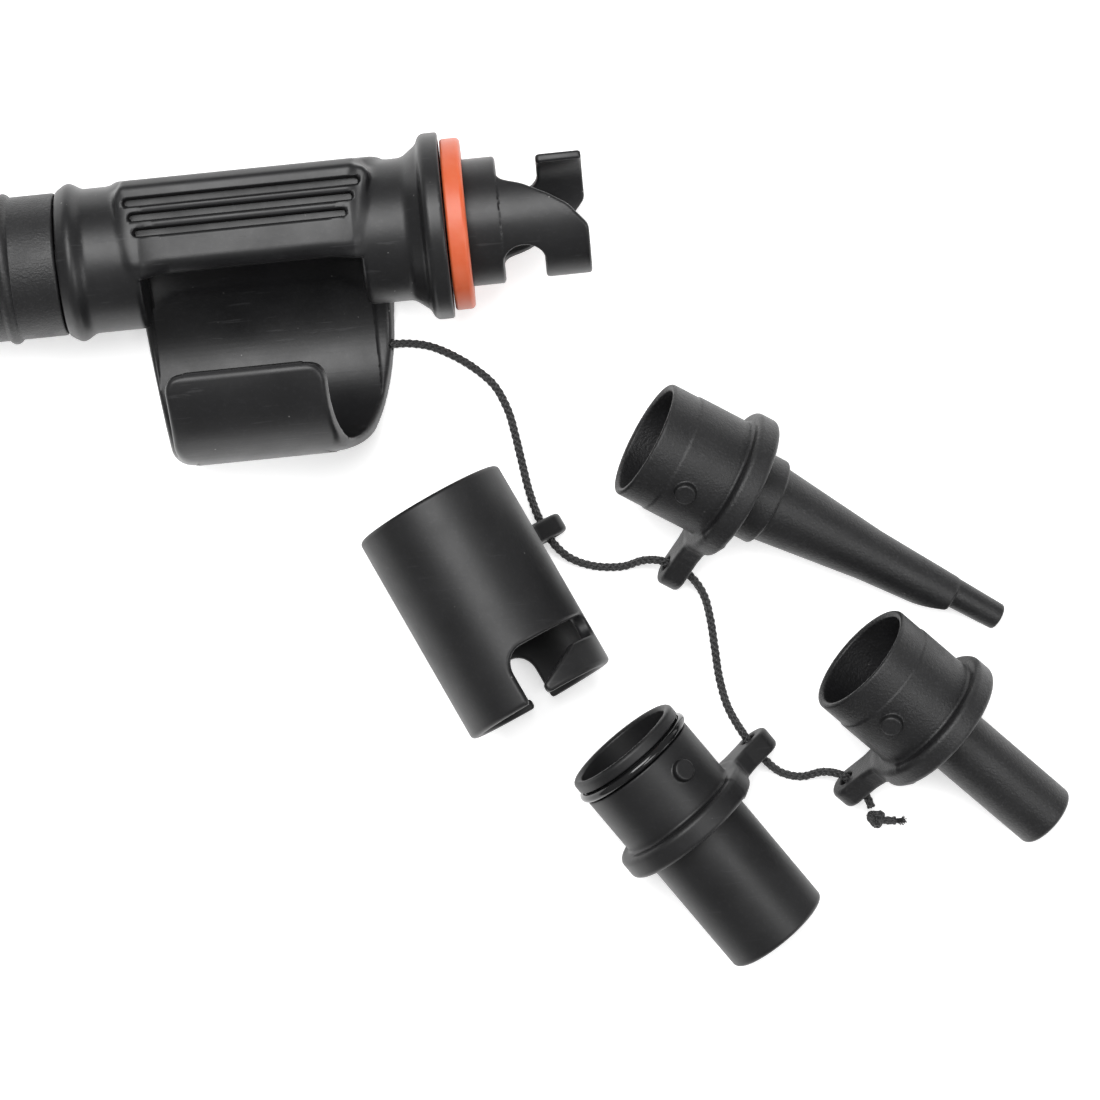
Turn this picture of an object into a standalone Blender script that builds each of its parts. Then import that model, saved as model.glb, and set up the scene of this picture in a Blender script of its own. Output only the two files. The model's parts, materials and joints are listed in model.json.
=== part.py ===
"""Hose end of an electric air mattress pump, with four valve adapters on a tether.

The bayonet fitting lies on its clip and flange rim, with its axis along +X and its mouth towards +X.
The corrugated hose leaves it towards -X and lies in one wide turn on the surface that z = 0 stands for.
Four adapters lie beside the fitting, threaded on a braided tether that starts in the clip's end.

Everything is built about the valve point: the centre of the flange's front face, dropped to z = 0.
The last step moves the whole assembly so that its origin is under the middle of the rigid pieces.
Lengths are in metres.
"""

import math

import bmesh
import bpy
from mathutils import Matrix, Vector

# ---- clearances ---------------------------------------------------------------------------------
TOUCH = 0.0003              # gap between pieces that rest on each other
RUNNING = 0.0004            # radial gap of a piece that turns on another
FACETS = 36                 # round a wide piece
FEWER_FACETS = 30
RING_FACETS = 24
SKIN = 0.0002               # keeps two cutters' walls from lying in one surface

# ---- bayonet fitting: turned shape about the axis, stations along it from the flange's front face --
FLANGE_RADIUS = 0.01805
FLANGE_RIM = 0.0040
NECK_RADIUS = 0.0138
NECK_START = -0.0069
DUCT_RADIUS = 0.0140
BEAD_RADIUS = 0.0153
BEAD_CENTRE = -0.0718
BEAD_HALF = 0.0030
BODY_END = -0.0743
BORE_RADIUS = 0.0100
SPIGOT_RADIUS = 0.0112
SPIGOT_END = -0.0945
SPIGOT_BORE = 0.0088
GROOVE_DEPTH = 0.0013       # of the O-ring and snap-ring grooves
O_RING_GROOVE = 0.0024
SWIVEL_RING_STATION = -0.0800

# ---- bayonet nozzle and its seals ---------------------------------------------------------------
NOZZLE_RADIUS = 0.0123
NOZZLE_BORE = 0.0100        # at the insert, behind its O-ring groove
MOUTH_BORE = 0.0104         # at the open end
NOZZLE_STEP = 0.0105
NOZZLE_STEP_DROP = 0.0002
NOZZLE_END = 0.0273
INSERT_RADIUS = 0.0119
INSERT_DEPTH = 0.0118
HOOK_SLOT = (0.0106, 0.0184)       # stations of the pin slot behind each hook
HOOK_SLOT_ANGLE = (31.0, 86.0)     # degrees round from the top of the fitting
HOOK_RAMP = ((144.0, 0.0113), (150.0, 0.0152), (163.0, 0.0200), (175.0, 0.0237), (190.0, 0.0262), (201.0, 0.0280))
SEAL_RADIUS = 0.0166
SEAL_THICKNESS = 0.0039

# ---- duct block, grip plate and clip: section across the axis ------------------------------------
PLATE_HEIGHT = 0.0132       # above the axis
PLATE_EDGE = 0.0139         # far edge of the plate, on the side away from the clip
PLATE_LIP = 0.0022          # edge of the plate over the clip
CLIP_OFFSET = 0.0208        # axis of the clip, sideways from the fitting's axis
CLIP_RISE = 0.0028
CLIP_RADIUS = 0.0178
CLIP_WALL = 0.0030
CLIP_MOUTH = (75.0, 154.0)  # the clip is open between these angles, counted up from its outer side
DUCT_WALL = 0.0022
BLOCK_LEFT = (-0.0607, 0.100, 0.107)     # end faces: station at the axis, slope sideways, slope upwards
BLOCK_RIGHT = (-0.0149, -0.143, -0.296)
BLOCK_CORNER = 0.0040
PLATE_STATIONS = ((-0.0628, -0.0127), (-0.0603, -0.0176))   # ends of the plate at its far edge and at its lip
PLATE_THICKNESS = 0.0050
NARROW_RADIUS = 0.0112      # of the body's core inside the block
SLOT_WIDTH = 0.0015
SLOT_DEPTH = 0.0020         # leaves 1 mm over the duct
PLATE_CROWN = 0.0034        # rounding of the block's far upper edge
GRIP_SLOTS = ((0.0093, -0.0599, -0.0162), (0.00645, -0.0592, -0.0177), (0.00345, -0.0585, -0.0192))

# ---- hose cuff, hose and pump end ---------------------------------------------------------------
CUFF_RADIUS = 0.0138
CUFF_RIB = 0.0146
CUFF_RIB_CENTRE = -0.0847
CUFF_END = -0.1080
CUFF_SHOULDER = -0.0905
RING_WIDTH = 0.0015
HOSE_RADIUS = 0.0144
PUMP_CUFF_RADIUS = 0.0168
HOSE_RESTING = HOSE_RADIUS + 0.0002
HOSE_ROUTE = ((-0.1084, 0.0, 0.01805), (-0.124, 0.0, 0.01805), (-0.140, 0.0, 0.01795), (-0.166, -0.001, 0.0156),
              (-0.192, -0.003, HOSE_RESTING), (-0.240, -0.009, HOSE_RESTING), (-0.300, -0.036, HOSE_RESTING),
              (-0.350, -0.090, HOSE_RESTING), (-0.366, -0.160, HOSE_RESTING), (-0.344, -0.230, HOSE_RESTING),
              (-0.292, -0.284, HOSE_RESTING), (-0.222, -0.309, HOSE_RESTING), (-0.140, -0.312, HOSE_RESTING),
              (-0.050, -0.304, HOSE_RESTING), (0.010, -0.3005, HOSE_RESTING), (0.046, -0.300, PUMP_CUFF_RADIUS),
              (0.076, -0.300, PUMP_CUFF_RADIUS))
PUMP_CUFF_LENGTH = 0.026
CONNECTOR_LENGTH = 0.036
CONNECTOR_RADIUS = 0.0145
CONNECTOR_BORE = 0.0105

# ---- adapters ------------------------------------------------------------------------------------
SOCKET_RADIUS = 0.0121
SOCKET_LIP_RADIUS = 0.0119
SOCKET_LIP = 0.0059
SOCKET_BORE = 0.0105
SOCKET_DEPTH = 0.0172
BOSS_RADIUS = 0.0021
BOSS_HEIGHT = 0.0013
BOSS_STATION = 0.0097
RIM_RADIUS = 0.0147
RIM_SPAN = (0.0175, 0.0222)
LUG_THICKNESS = 0.0045
LUG_TIP_CENTRE = 0.0222
LUG_TIP_RADIUS = 0.0040
LUG_HOLE = 0.0016
TAPER_LENGTH = 0.0797
TAPER_COLLAR = (0.0088, 0.0278)
TAPER_ROOT = 0.0077
TAPER_KNEE = (0.00524, 0.0507)           # where the cone's slope halves
TAPER_CONE_END = (0.00415, 0.0690)
TAPER_TIP_RADIUS = 0.00265
TAPER_BORE = 0.0016
TAPER_CUT = (0.0622, 0.0677)             # the slanted cut's stations, from the cone's lug side to the tip
TAPER_HIDDEN = 0.0020                    # how far the tip reaches back into the cone
TAPER_INSET = 0.00005                    # keeps the hidden end just inside the cone
TAPER_BORE_START = 0.0450
STRAIGHT_LENGTH = 0.0510
STRAIGHT_RADIUS = 0.00655
STRAIGHT_BORE = 0.0048
LARGE_LENGTH = 0.0485
LARGE_RADIUS = 0.01085
LARGE_BORE = 0.0090
GROOVE = (0.0024, 0.0046)
GROOVE_FLOOR = 0.0108
ADAPTER_RING = 0.00085      # section radius of its O-ring
SLEEVE_LENGTH = 0.0440
SLEEVE_RADIUS = 0.01535
SLEEVE_BORE = NOZZLE_RADIUS + RUNNING
SLEEVE_LUG = (0.0129, 0.0169)
SLEEVE_LUG_TIP = 0.0215
SLEEVE_LUG_RADIUS = 0.0036
J_SLOT = (0.0334, 0.0379)   # stations of the slot that an adapter's boss runs in
J_ENTRY = 8.0               # degrees, half the width of the slot's way in
J_SEAT = 84.0
J_RAMP_END = 45.0
PIN_RADIUS = 0.0018
PIN_STATION = 0.0125

# ---- where the adapters lie: mouth centre from the valve point, heading of the axis in degrees --------
TAPERED_SPOT = (0.0339, -0.0449)
TAPERED_HEADING = -32.8
STRAIGHT_SPOT = (0.0710, -0.0913)
STRAIGHT_HEADING = -45.8
LARGE_SPOT = (0.0235, -0.1032)
LARGE_HEADING = -55.8
SLEEVE_SPOT = (-0.0089, -0.0533)
SLEEVE_HEADING = -65.8
SLEEVE_TILT = -4.0

# ---- tether --------------------------------------------------------------------------------------
CORD_RADIUS = 0.00085
CORD_LOW = CORD_RADIUS + 0.0001
TETHER_ROUTE = (
    (-0.0175, -0.0211, 0.0016), (-0.0150, -0.0211, 0.0016), (-0.0124, -0.0211, 0.0016),
    (-0.0095, -0.0213, 0.0011), (-0.0056, -0.0223, CORD_LOW),
    (-0.0013, -0.0246, CORD_LOW), (0.0027, -0.0276, CORD_LOW), (0.0061, -0.0313, CORD_LOW),
    (0.0082, -0.0363, CORD_LOW), (0.0091, -0.0411, CORD_LOW), (0.0099, -0.0469, 0.0011), (0.0107, -0.0524, 0.0020),
    (0.01198, -0.05769, 0.00332), (0.01329, -0.06060, 0.00354), (0.01460, -0.06351, 0.00376),   # sleeve's lug
    (0.0176, -0.0666, 0.0029), (0.0222, -0.0686, 0.0016), (0.0275, -0.0692, 0.0017), (0.0316, -0.0684, 0.0034),
    (0.03516, -0.06884, 0.00505), (0.03779, -0.07054, 0.00438), (0.04042, -0.07224, 0.00371),   # tapered
    (0.0428, -0.0762, 0.0022), (0.0437, -0.0812, CORD_LOW), (0.0440, -0.0870, CORD_LOW),
    (0.0443, -0.0930, 0.0012), (0.0454, -0.0990, 0.0028),
    (0.04797, -0.10461, 0.00474), (0.04975, -0.10723, 0.00428), (0.05153, -0.10985, 0.00382),   # large
    (0.0544, -0.1126, 0.0023), (0.0584, -0.1139, 0.0015), (0.0626, -0.1133, 0.0034),
    (0.06620, -0.11424, 0.00533), (0.06835, -0.11645, 0.00446), (0.07050, -0.11866, 0.00359),   # straight
    (0.0714, -0.1212, 0.0033))
KNOT_RADIUS = 0.0021
KNOT_TAIL = ((0.0004, -0.0002, -0.0004), (0.0030, -0.0008, -0.0009), (0.0064, -0.0012, -0.0011))
FREE_NODES = ("hose", "pump_end_cuff", "pump_end_connector", "pump_end_o_ring", "tether_cord", "tether_end_knot")

# ---- colours ---------------------------------------------------------------------------------------
BLACK_PLASTIC = (0.020, 0.020, 0.022)
BLACK_RUBBER = (0.012, 0.012, 0.013)
GREY_HOSE = (0.024, 0.024, 0.025)
ORANGE = (0.80, 0.16, 0.045)
STEEL = (0.55, 0.55, 0.56)


def material(name, colour, roughness, metallic=0.0):
    """A plain Principled material."""
    made = bpy.data.materials.new(name)
    made.use_nodes = True
    shader = made.node_tree.nodes["Principled BSDF"]
    shader.inputs["Base Color"].default_value = (*colour, 1.0)
    shader.inputs["Roughness"].default_value = roughness
    shader.inputs["Metallic"].default_value = metallic
    return made


def collection(name):
    """A new collection linked to the scene."""
    made = bpy.data.collections.new(name)
    bpy.context.scene.collection.children.link(made)
    return made


def place(obj, group, frame=None):
    """Link an object to a collection and set its frame."""
    group.objects.link(obj)
    if frame is not None:
        obj.matrix_world = frame
    return obj


def hide_cutter(obj):
    """Mark an object as a guide that isn't part of the model."""
    obj.hide_render = True
    obj.display_type = "WIRE"
    return obj


def turned(name, profile, steps, frame=None, group=None):
    """A shape of revolution about its own Z: a closed profile of (radius, height) points.

    The profile runs down its outer side, and comes back up its bore. On the axis it stays open.
    """
    mesh = bpy.data.meshes.new(name)
    build = bmesh.new()
    points = [build.verts.new((radius, 0.0, height)) for radius, height in profile]
    for start, end in zip(points, points[1:] + points[:1]):
        if start.co.x > 0.0 or end.co.x > 0.0:
            build.edges.new((start, end))
    build.to_mesh(mesh)
    build.free()
    obj = place(bpy.data.objects.new(name, mesh), group, frame)
    screw = obj.modifiers.new("turn", "SCREW")
    screw.angle = math.tau
    screw.steps = steps
    screw.render_steps = steps
    screw.use_merge_vertices = True
    screw.merge_threshold = 0.00001
    screw.use_smooth_shade = True
    return obj


def cylinder(name, radius, low, high, steps, frame, group):
    """A plain cylinder along its own Z."""
    return turned(name, ((0.0, high), (radius, high), (radius, low), (0.0, low)), steps, frame, group)


def prism(name, outline, thickness, frame, group):
    """A flat outline in its own XY plane, thickened equally to both sides, as a welded mesh."""
    curve = bpy.data.curves.new(name, "CURVE")
    curve.dimensions = "2D"
    curve.fill_mode = "BOTH"
    curve.extrude = thickness / 2
    spline = curve.splines.new("POLY")
    spline.points.add(len(outline) - 1)
    for point, (x, y) in zip(spline.points, outline):
        point.co = (x, y, 0.0, 1.0)
    spline.use_cyclic_u = True
    return meshed(place(bpy.data.objects.new(name, curve), group, frame), group)


def meshed(curve_object, group):
    """Replace a curve object with a mesh whose caps are welded."""
    bpy.context.view_layer.update()
    graph = bpy.context.evaluated_depsgraph_get()
    mesh = bpy.data.meshes.new_from_object(curve_object.evaluated_get(graph))
    build = bmesh.new()
    build.from_mesh(mesh)
    bmesh.ops.remove_doubles(build, verts=build.verts, dist=0.000002)
    bmesh.ops.recalc_face_normals(build, faces=build.faces)
    build.to_mesh(mesh)
    build.free()
    name, frame = curve_object.name, curve_object.matrix_world.copy()
    bpy.data.objects.remove(curve_object)
    return place(bpy.data.objects.new(name, mesh), group, frame)


def arc_block(name, radii, sections, frame, group):
    """A block bent round its own Z, lofted through sections of (angle in degrees, low, high)."""
    build = bmesh.new()
    rings = []
    for angle, low, high in sections:
        turn = Matrix.Rotation(math.radians(angle), 4, "Z")
        corners = ((radii[0], low), (radii[1], low), (radii[1], high), (radii[0], high))
        rings.append([build.verts.new(turn @ Vector((radius, 0.0, height))) for radius, height in corners])
    for ring, following in zip(rings, rings[1:]):
        for corner in range(4):
            after = (corner + 1) % 4
            build.faces.new((ring[corner], ring[after], following[after], following[corner]))
    build.faces.new(rings[0])
    build.faces.new(rings[-1])
    bmesh.ops.recalc_face_normals(build, faces=build.faces)
    mesh = bpy.data.meshes.new(name)
    build.to_mesh(mesh)
    build.free()
    return place(bpy.data.objects.new(name, mesh), group, frame)


def combine(target, tool, operation):
    """Join or cut the target with a tool, which becomes a hidden guide."""
    boolean = target.modifiers.new(f"{operation.lower()} {tool.name}", "BOOLEAN")
    boolean.operation = operation
    boolean.solver = "EXACT"
    boolean.object = tool
    hide_cutter(tool)


def arc(centre, radius, start, end, steps):
    """Points of an arc in a plane, angles in degrees."""
    angles = [math.radians(start + (end - start) * step / steps) for step in range(steps + 1)]
    return [(centre[0] + radius * math.cos(a), centre[1] + radius * math.sin(a)) for a in angles]


def smooth_route(route, spacing):
    """Points read at an even spacing from a smooth curve through the route's points."""
    points = [Vector(point) for point in route]
    ends = [2 * points[0] - points[1]] + points + [2 * points[-1] - points[-2]]
    fine = []
    for before, start, end, after in zip(ends, ends[1:], ends[2:], ends[3:]):
        for step in range(16):
            t = step / 16
            fine.append(0.5 * (2 * start + (end - before) * t + (2 * before - 5 * start + 4 * end - after) * t * t
                               + (3 * start - before - 3 * end + after) * t ** 3))
    fine.append(points[-1])
    lengths = [0.0]
    for start, end in zip(fine, fine[1:]):
        lengths.append(lengths[-1] + (end - start).length)
    count = max(2, round(lengths[-1] / spacing))
    even, segment = [], 0
    for step in range(count + 1):
        reach = lengths[-1] * step / count
        while segment < len(fine) - 2 and lengths[segment + 1] < reach:
            segment += 1
        share = (reach - lengths[segment]) / (lengths[segment + 1] - lengths[segment])
        even.append(fine[segment].lerp(fine[segment + 1], share))
    return even


def cord(name, route, radius, spacing, resolution, group):
    """A round cord along a smooth curve through its route."""
    curve = bpy.data.curves.new(name, "CURVE")
    curve.dimensions = "3D"
    curve.bevel_depth = radius
    curve.bevel_resolution = resolution
    curve.use_fill_caps = True
    points = smooth_route(route, spacing)
    spline = curve.splines.new("POLY")
    spline.points.add(len(points) - 1)
    for point, spot in zip(spline.points, points):
        point.co = (*spot, 1.0)
    return place(bpy.data.objects.new(name, curve), group)


def o_ring(name, centre_radius, section_radius, frame, group):
    """A ring of round section about its own Z."""
    section = arc((centre_radius, 0.0), section_radius, 90.0, -270.0, 6)[:-1]
    return turned(name, section, RING_FACETS, frame, group)


AXIS = Matrix.Translation((0.0, 0.0, FLANGE_RADIUS)) @ Matrix.Rotation(math.pi / 2, 4, "Y")


def along(station):
    """The fitting's turning frame, moved along its axis."""
    return AXIS @ Matrix.Translation((0.0, 0.0, station))


# ---- fitting ---------------------------------------------------------------------------------------

def fitting_profile():
    """Outer side of the body from flange to spigot, solid to the axis."""
    bead = [(DUCT_RADIUS + (BEAD_RADIUS - DUCT_RADIUS) * math.cos(step * math.pi / 6) ** 2,
             BEAD_CENTRE - BEAD_HALF * step / 3) for step in (-3, -2, -1, 0, 1, 2)]
    left, right = PLATE_STATIONS[0]
    rim_back = arc((FLANGE_RADIUS - 0.0022, -FLANGE_RIM + 0.0022), 0.0022, 0.0, -60.0, 3)
    return [(0.0, 0.0), (FLANGE_RADIUS, 0.0), *rim_back, (NECK_RADIUS + 0.0006, NECK_START + 0.0004),
            (NECK_RADIUS, NECK_START - 0.0008), (NECK_RADIUS, right - 0.0015), (NARROW_RADIUS, right - 0.0070),
            (NARROW_RADIUS, left + 0.0050), (DUCT_RADIUS, left), *bead, (DUCT_RADIUS, BODY_END),
            (SPIGOT_RADIUS, BODY_END), (SPIGOT_RADIUS, SPIGOT_END + 0.0006), (SPIGOT_RADIUS - 0.0006, SPIGOT_END),
            (0.0, SPIGOT_END)]


def block_section():
    """Outline across the axis of the duct block, its plate and its clip: (sideways, up) from the axis."""
    centre = (CLIP_OFFSET, CLIP_RISE)
    lip = arc((PLATE_LIP, PLATE_HEIGHT - 0.0022), 0.0022, 90.0, 0.0, 4)
    inside = arc(centre, CLIP_RADIUS, CLIP_MOUTH[1], 360.0 + CLIP_MOUTH[0], 30)
    outer_radius = CLIP_RADIUS + CLIP_WALL
    tip = math.radians(CLIP_MOUTH[0])
    tip_centre = (centre[0] + (CLIP_RADIUS + CLIP_WALL / 2) * math.cos(tip),
                  centre[1] + (CLIP_RADIUS + CLIP_WALL / 2) * math.sin(tip))
    round_tip = arc(tip_centre, CLIP_WALL / 2, CLIP_MOUTH[0] + 180.0, CLIP_MOUTH[0], 4)[1:-1]
    outside = arc(centre, outer_radius, 360.0 + CLIP_MOUTH[0], 255.0, 22)
    floor = [(0.0, CLIP_RISE - outer_radius + 0.0016)]
    side = arc((-PLATE_EDGE + 0.0075, -0.0080), 0.0075, 265.0, 180.0, 5)
    crown = arc((-PLATE_EDGE + PLATE_CROWN, PLATE_HEIGHT - PLATE_CROWN), PLATE_CROWN, 180.0, 90.0, 5)
    return [*lip, *inside, *round_tip, *outside, *floor, *side, *crown]


def end_station(face, sideways, up):
    """Station of a slanted end face of the block, at a place across the axis."""
    start, slope_sideways, slope_up = face
    return start + slope_sideways * sideways + slope_up * up


def block_envelope(guides):
    """The room between the block's two slanted end faces, with rounded corners on the clip's side."""
    build = bmesh.new()
    bmesh.ops.create_cube(build, size=2.0)
    far, near = -PLATE_EDGE - 0.001, CLIP_OFFSET + CLIP_RADIUS + CLIP_WALL
    low, high = -FLANGE_RADIUS - 0.002, CLIP_RISE + CLIP_RADIUS + CLIP_WALL + 0.002
    for vertex in build.verts:
        face = BLOCK_RIGHT if vertex.co.x > 0 else BLOCK_LEFT
        sideways = far if vertex.co.y > 0 else near
        up = high if vertex.co.z > 0 else low
        vertex.co = (end_station(face, sideways, up), -sideways, FLANGE_RADIUS + up)
    corner_edges = [edge for edge in build.edges if all(vertex.co.y < 0 for vertex in edge.verts)
                    and abs(edge.verts[0].co.z - edge.verts[1].co.z) > 0.01]
    bmesh.ops.bevel(build, geom=corner_edges, offset=BLOCK_CORNER, segments=5, affect="EDGES", profile=0.5)
    mesh = bpy.data.meshes.new("block_envelope")
    build.to_mesh(mesh)
    build.free()
    return place(bpy.data.objects.new("block_envelope", mesh), guides)


def across_frame(start, end):
    """Frame of a section drawn across the axis, thickened along it between two stations."""
    middle = Matrix.Translation(((start + end) / 2, 0.0, FLANGE_RADIUS))
    return middle @ Matrix.Rotation(math.pi / 2, 4, "Z") @ Matrix.Rotation(math.pi / 2, 4, "X")


def mirrored(outline):
    """An outline given as (towards the clip, up), drawn in the frame of across_frame."""
    return [(-sideways, up) for sideways, up in outline][::-1]


def duct_block(guides):
    """The duct block with its clip: its section run along the axis, between its slanted ends."""
    start, end = PLATE_STATIONS[0][0] - 0.006, PLATE_STATIONS[0][1] + 0.010
    block = prism("duct_block", mirrored(block_section()), end - start, across_frame(start, end), guides)
    combine(block, block_envelope(guides), "INTERSECT")
    reach = math.radians(CLIP_MOUTH[0])
    tip = CLIP_OFFSET + (CLIP_RADIUS + CLIP_WALL) * math.cos(reach) - CLIP_WALL / 2
    for number, (face, side) in enumerate(((BLOCK_LEFT, 1.0), (BLOCK_RIGHT, -1.0))):
        edge = end_station(face, tip, CLIP_RISE + CLIP_RADIUS)
        rounding = arc((edge + side * BLOCK_CORNER, -tip - BLOCK_CORNER), BLOCK_CORNER, 90.0, 90.0 + side * 90.0, 6)
        outline = [(edge - side * 0.002, -tip + 0.002), *rounding, (edge - side * 0.002, -tip - BLOCK_CORNER)]
        outline.insert(1, (edge + side * BLOCK_CORNER, -tip + 0.002))
        top = Matrix.Translation((0.0, 0.0, FLANGE_RADIUS + CLIP_RISE + CLIP_RADIUS))
        combine(block, prism(f"tongue_corner_{number}", outline, 0.016, top, guides), "DIFFERENCE")
    return block


def grip_plate(guides):
    """The flat plate on top of the block."""
    (far_start, far_end), (near_start, near_end) = PLATE_STATIONS
    far = PLATE_EDGE - PLATE_CROWN / 2
    outline = [(far_start, far), (near_start, -PLATE_LIP), (near_end, -PLATE_LIP), (far_end, far)]
    middle = FLANGE_RADIUS + PLATE_HEIGHT - PLATE_THICKNESS / 2
    return prism("grip_plate", outline, PLATE_THICKNESS, Matrix.Translation((0.0, 0.0, middle)), guides)


def fitting_body(parts, guides, black):
    """The moulded body: flange, duct, grip plate, clip, bead and spigot."""
    body = turned("fitting_body", fitting_profile(), FACETS, AXIS, parts)
    body.data.materials.append(black)
    groove_in_spigot(body, "ring_groove", SWIVEL_RING_STATION, O_RING_GROOVE, guides)
    groove_in_spigot(body, "snap_groove", CUFF_SHOULDER - TOUCH - RING_WIDTH / 2, RING_WIDTH + 2 * TOUCH, guides)
    combine(body, duct_block(guides), "UNION")
    combine(body, grip_plate(guides), "UNION")
    for number, (sideways, start, end) in enumerate(GRIP_SLOTS):
        half = SLOT_WIDTH / 2
        outline = arc((end, sideways), half, -90.0, 90.0, 5) + arc((start, sideways), half, 90.0, 270.0, 5)
        top = Matrix.Translation((0.0, 0.0, FLANGE_RADIUS + PLATE_HEIGHT))
        combine(body, prism(f"grip_slot_{number}", outline, 2 * SLOT_DEPTH, top, guides), "DIFFERENCE")
    clip_room = cylinder("clip_room", CLIP_RADIUS - SKIN, BLOCK_LEFT[0], BLOCK_RIGHT[0] - 0.0010, FACETS, clip_frame(),
                         guides)
    combine(body, clip_room, "DIFFERENCE")
    hole = cylinder("tether_hole", CORD_RADIUS + TOUCH, 0.0, 0.010, 12, tether_hole_frame(), guides)
    combine(body, hole, "DIFFERENCE")
    air_way(body, guides)
    return body


def groove_in_spigot(body, name, station, width, guides):
    """Cut a square groove round the spigot."""
    profile = ((SPIGOT_RADIUS + 0.002, width / 2), (SPIGOT_RADIUS + 0.002, -width / 2),
               (SPIGOT_RADIUS - GROOVE_DEPTH, -width / 2), (SPIGOT_RADIUS - GROOVE_DEPTH, width / 2))
    combine(body, turned(name, profile, FACETS, along(station), guides), "DIFFERENCE")


def tether_hole_frame():
    """The blind hole in the clip's end that holds the tether, running into the wall."""
    mouth = Vector(TETHER_ROUTE[0])
    return Matrix.Translation((mouth.x - TOUCH, mouth.y, mouth.z)) @ Matrix.Rotation(math.pi / 2, 4, "Y")


def clip_frame():
    """Turning frame on the clip's own axis, its zero station at the flange's front face."""
    return Matrix.Translation((0.0, -CLIP_OFFSET, FLANGE_RADIUS + CLIP_RISE)) @ Matrix.Rotation(math.pi / 2, 4, "Y")


def air_way(body, guides):
    """The passage: round at both ends, squeezed beside the clip."""
    left, right = PLATE_STATIONS[0]
    bore = turned("air_bore", ((0.0, -0.010), (BORE_RADIUS, -0.010), (BORE_RADIUS, BODY_END + 0.006),
                               (SPIGOT_BORE, BODY_END + 0.002), (SPIGOT_BORE, SPIGOT_END - 0.002),
                               (0.0, SPIGOT_END - 0.002)), FEWER_FACETS, AXIS, guides)
    keep = cylinder("clip_keep", CLIP_RADIUS + DUCT_WALL, left, right + 0.0010, FACETS, clip_frame(), guides)
    combine(bore, keep, "DIFFERENCE")
    combine(body, bore, "DIFFERENCE")
    wall = arc((CLIP_OFFSET, CLIP_RISE), CLIP_RADIUS + DUCT_WALL - SKIN, 156.0, 222.0, 8)
    inner_edge = -PLATE_EDGE + DUCT_WALL
    outline = [*wall, (-0.0030, -0.0130), (inner_edge + 0.0012, -0.0090), (inner_edge, -0.0060),
               (inner_edge, PLATE_HEIGHT - 0.0030)]
    start, end = left + 0.0045, right - 0.0065
    duct = prism("air_duct", mirrored(outline), end - start, across_frame(start, end), guides)
    combine(body, duct, "DIFFERENCE")
    socket = cylinder("insert_socket", INSERT_RADIUS + TOUCH, -INSERT_DEPTH - TOUCH, 0.002, FACETS, AXIS, guides)
    combine(body, socket, "DIFFERENCE")


def hook_slot(guides, number):
    """Cutter for the round-ended pin slot behind a hook."""
    low, high = HOOK_SLOT
    middle, half = (low + high) / 2, (high - low) / 2
    start, end = HOOK_SLOT_ANGLE
    round_span = math.degrees(half / NOZZLE_RADIUS)
    sections = []
    for step in range(8):
        share = 0.02 + 0.98 * step / 7
        reach = half * math.sqrt(1.0 - (1.0 - share) ** 2)
        sections.append((start + round_span * share, middle - reach, middle + reach))
    sections += [(start + round_span + (end - start - round_span) * step / 4, low, high) for step in range(1, 5)]
    turn = top_turn(number)
    return arc_block(f"hook_slot_{number}", (NOZZLE_BORE - 0.002, NOZZLE_RADIUS + 0.002), sections, turn, guides)


def top_turn(number):
    """Turning frame whose zero angle is the top of the fitting, one for each of the two hooks.

    Angles grow towards the clip's side.
    """
    return AXIS @ Matrix.Rotation(math.radians(180.0 + 180.0 * number), 4, "Z")


def hook_gap(guides, number):
    """Cutter for the open space from a hook's end to the other hook's ramp."""
    gap_start = HOOK_SLOT_ANGLE[1] - 0.5
    beyond = NOZZLE_END + 0.002
    sections = [(gap_start + (HOOK_RAMP[0][0] - 4.0 - gap_start) * step / 6, HOOK_SLOT[0], beyond)
                for step in range(7)]
    for (angle, station), (next_angle, next_station) in zip(HOOK_RAMP, HOOK_RAMP[1:]):
        for step in range(2):
            share = step / 2
            sections.append((angle + (next_angle - angle) * share,
                             station + (next_station - station) * share, beyond))
    turn = top_turn(number)
    return arc_block(f"hook_gap_{number}", (NOZZLE_BORE - 0.002, NOZZLE_RADIUS + 0.002), sections, turn, guides)


def bayonet_nozzle(parts, guides, black):
    """The tube with two hooks, and the insert that seats in the body."""
    stepped = NOZZLE_RADIUS - NOZZLE_STEP_DROP
    groove_low, groove_high = -0.0100, -0.0078
    floor = INSERT_RADIUS - GROOVE_DEPTH
    profile = [(MOUTH_BORE, NOZZLE_END), (stepped - 0.0004, NOZZLE_END), (stepped, NOZZLE_END - 0.0004),
               (stepped, NOZZLE_STEP), (NOZZLE_RADIUS, NOZZLE_STEP), (NOZZLE_RADIUS, TOUCH),
               (INSERT_RADIUS, TOUCH), (INSERT_RADIUS, groove_high), (floor, groove_high), (floor, groove_low),
               (INSERT_RADIUS, groove_low), (INSERT_RADIUS, -INSERT_DEPTH), (NOZZLE_BORE, -INSERT_DEPTH)]
    nozzle = turned("bayonet_nozzle", profile, FACETS, AXIS, parts)
    nozzle.data.materials.append(black)
    for number in range(2):
        combine(nozzle, hook_slot(guides, number), "DIFFERENCE")
        combine(nozzle, hook_gap(guides, number), "DIFFERENCE")
    return nozzle


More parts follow.
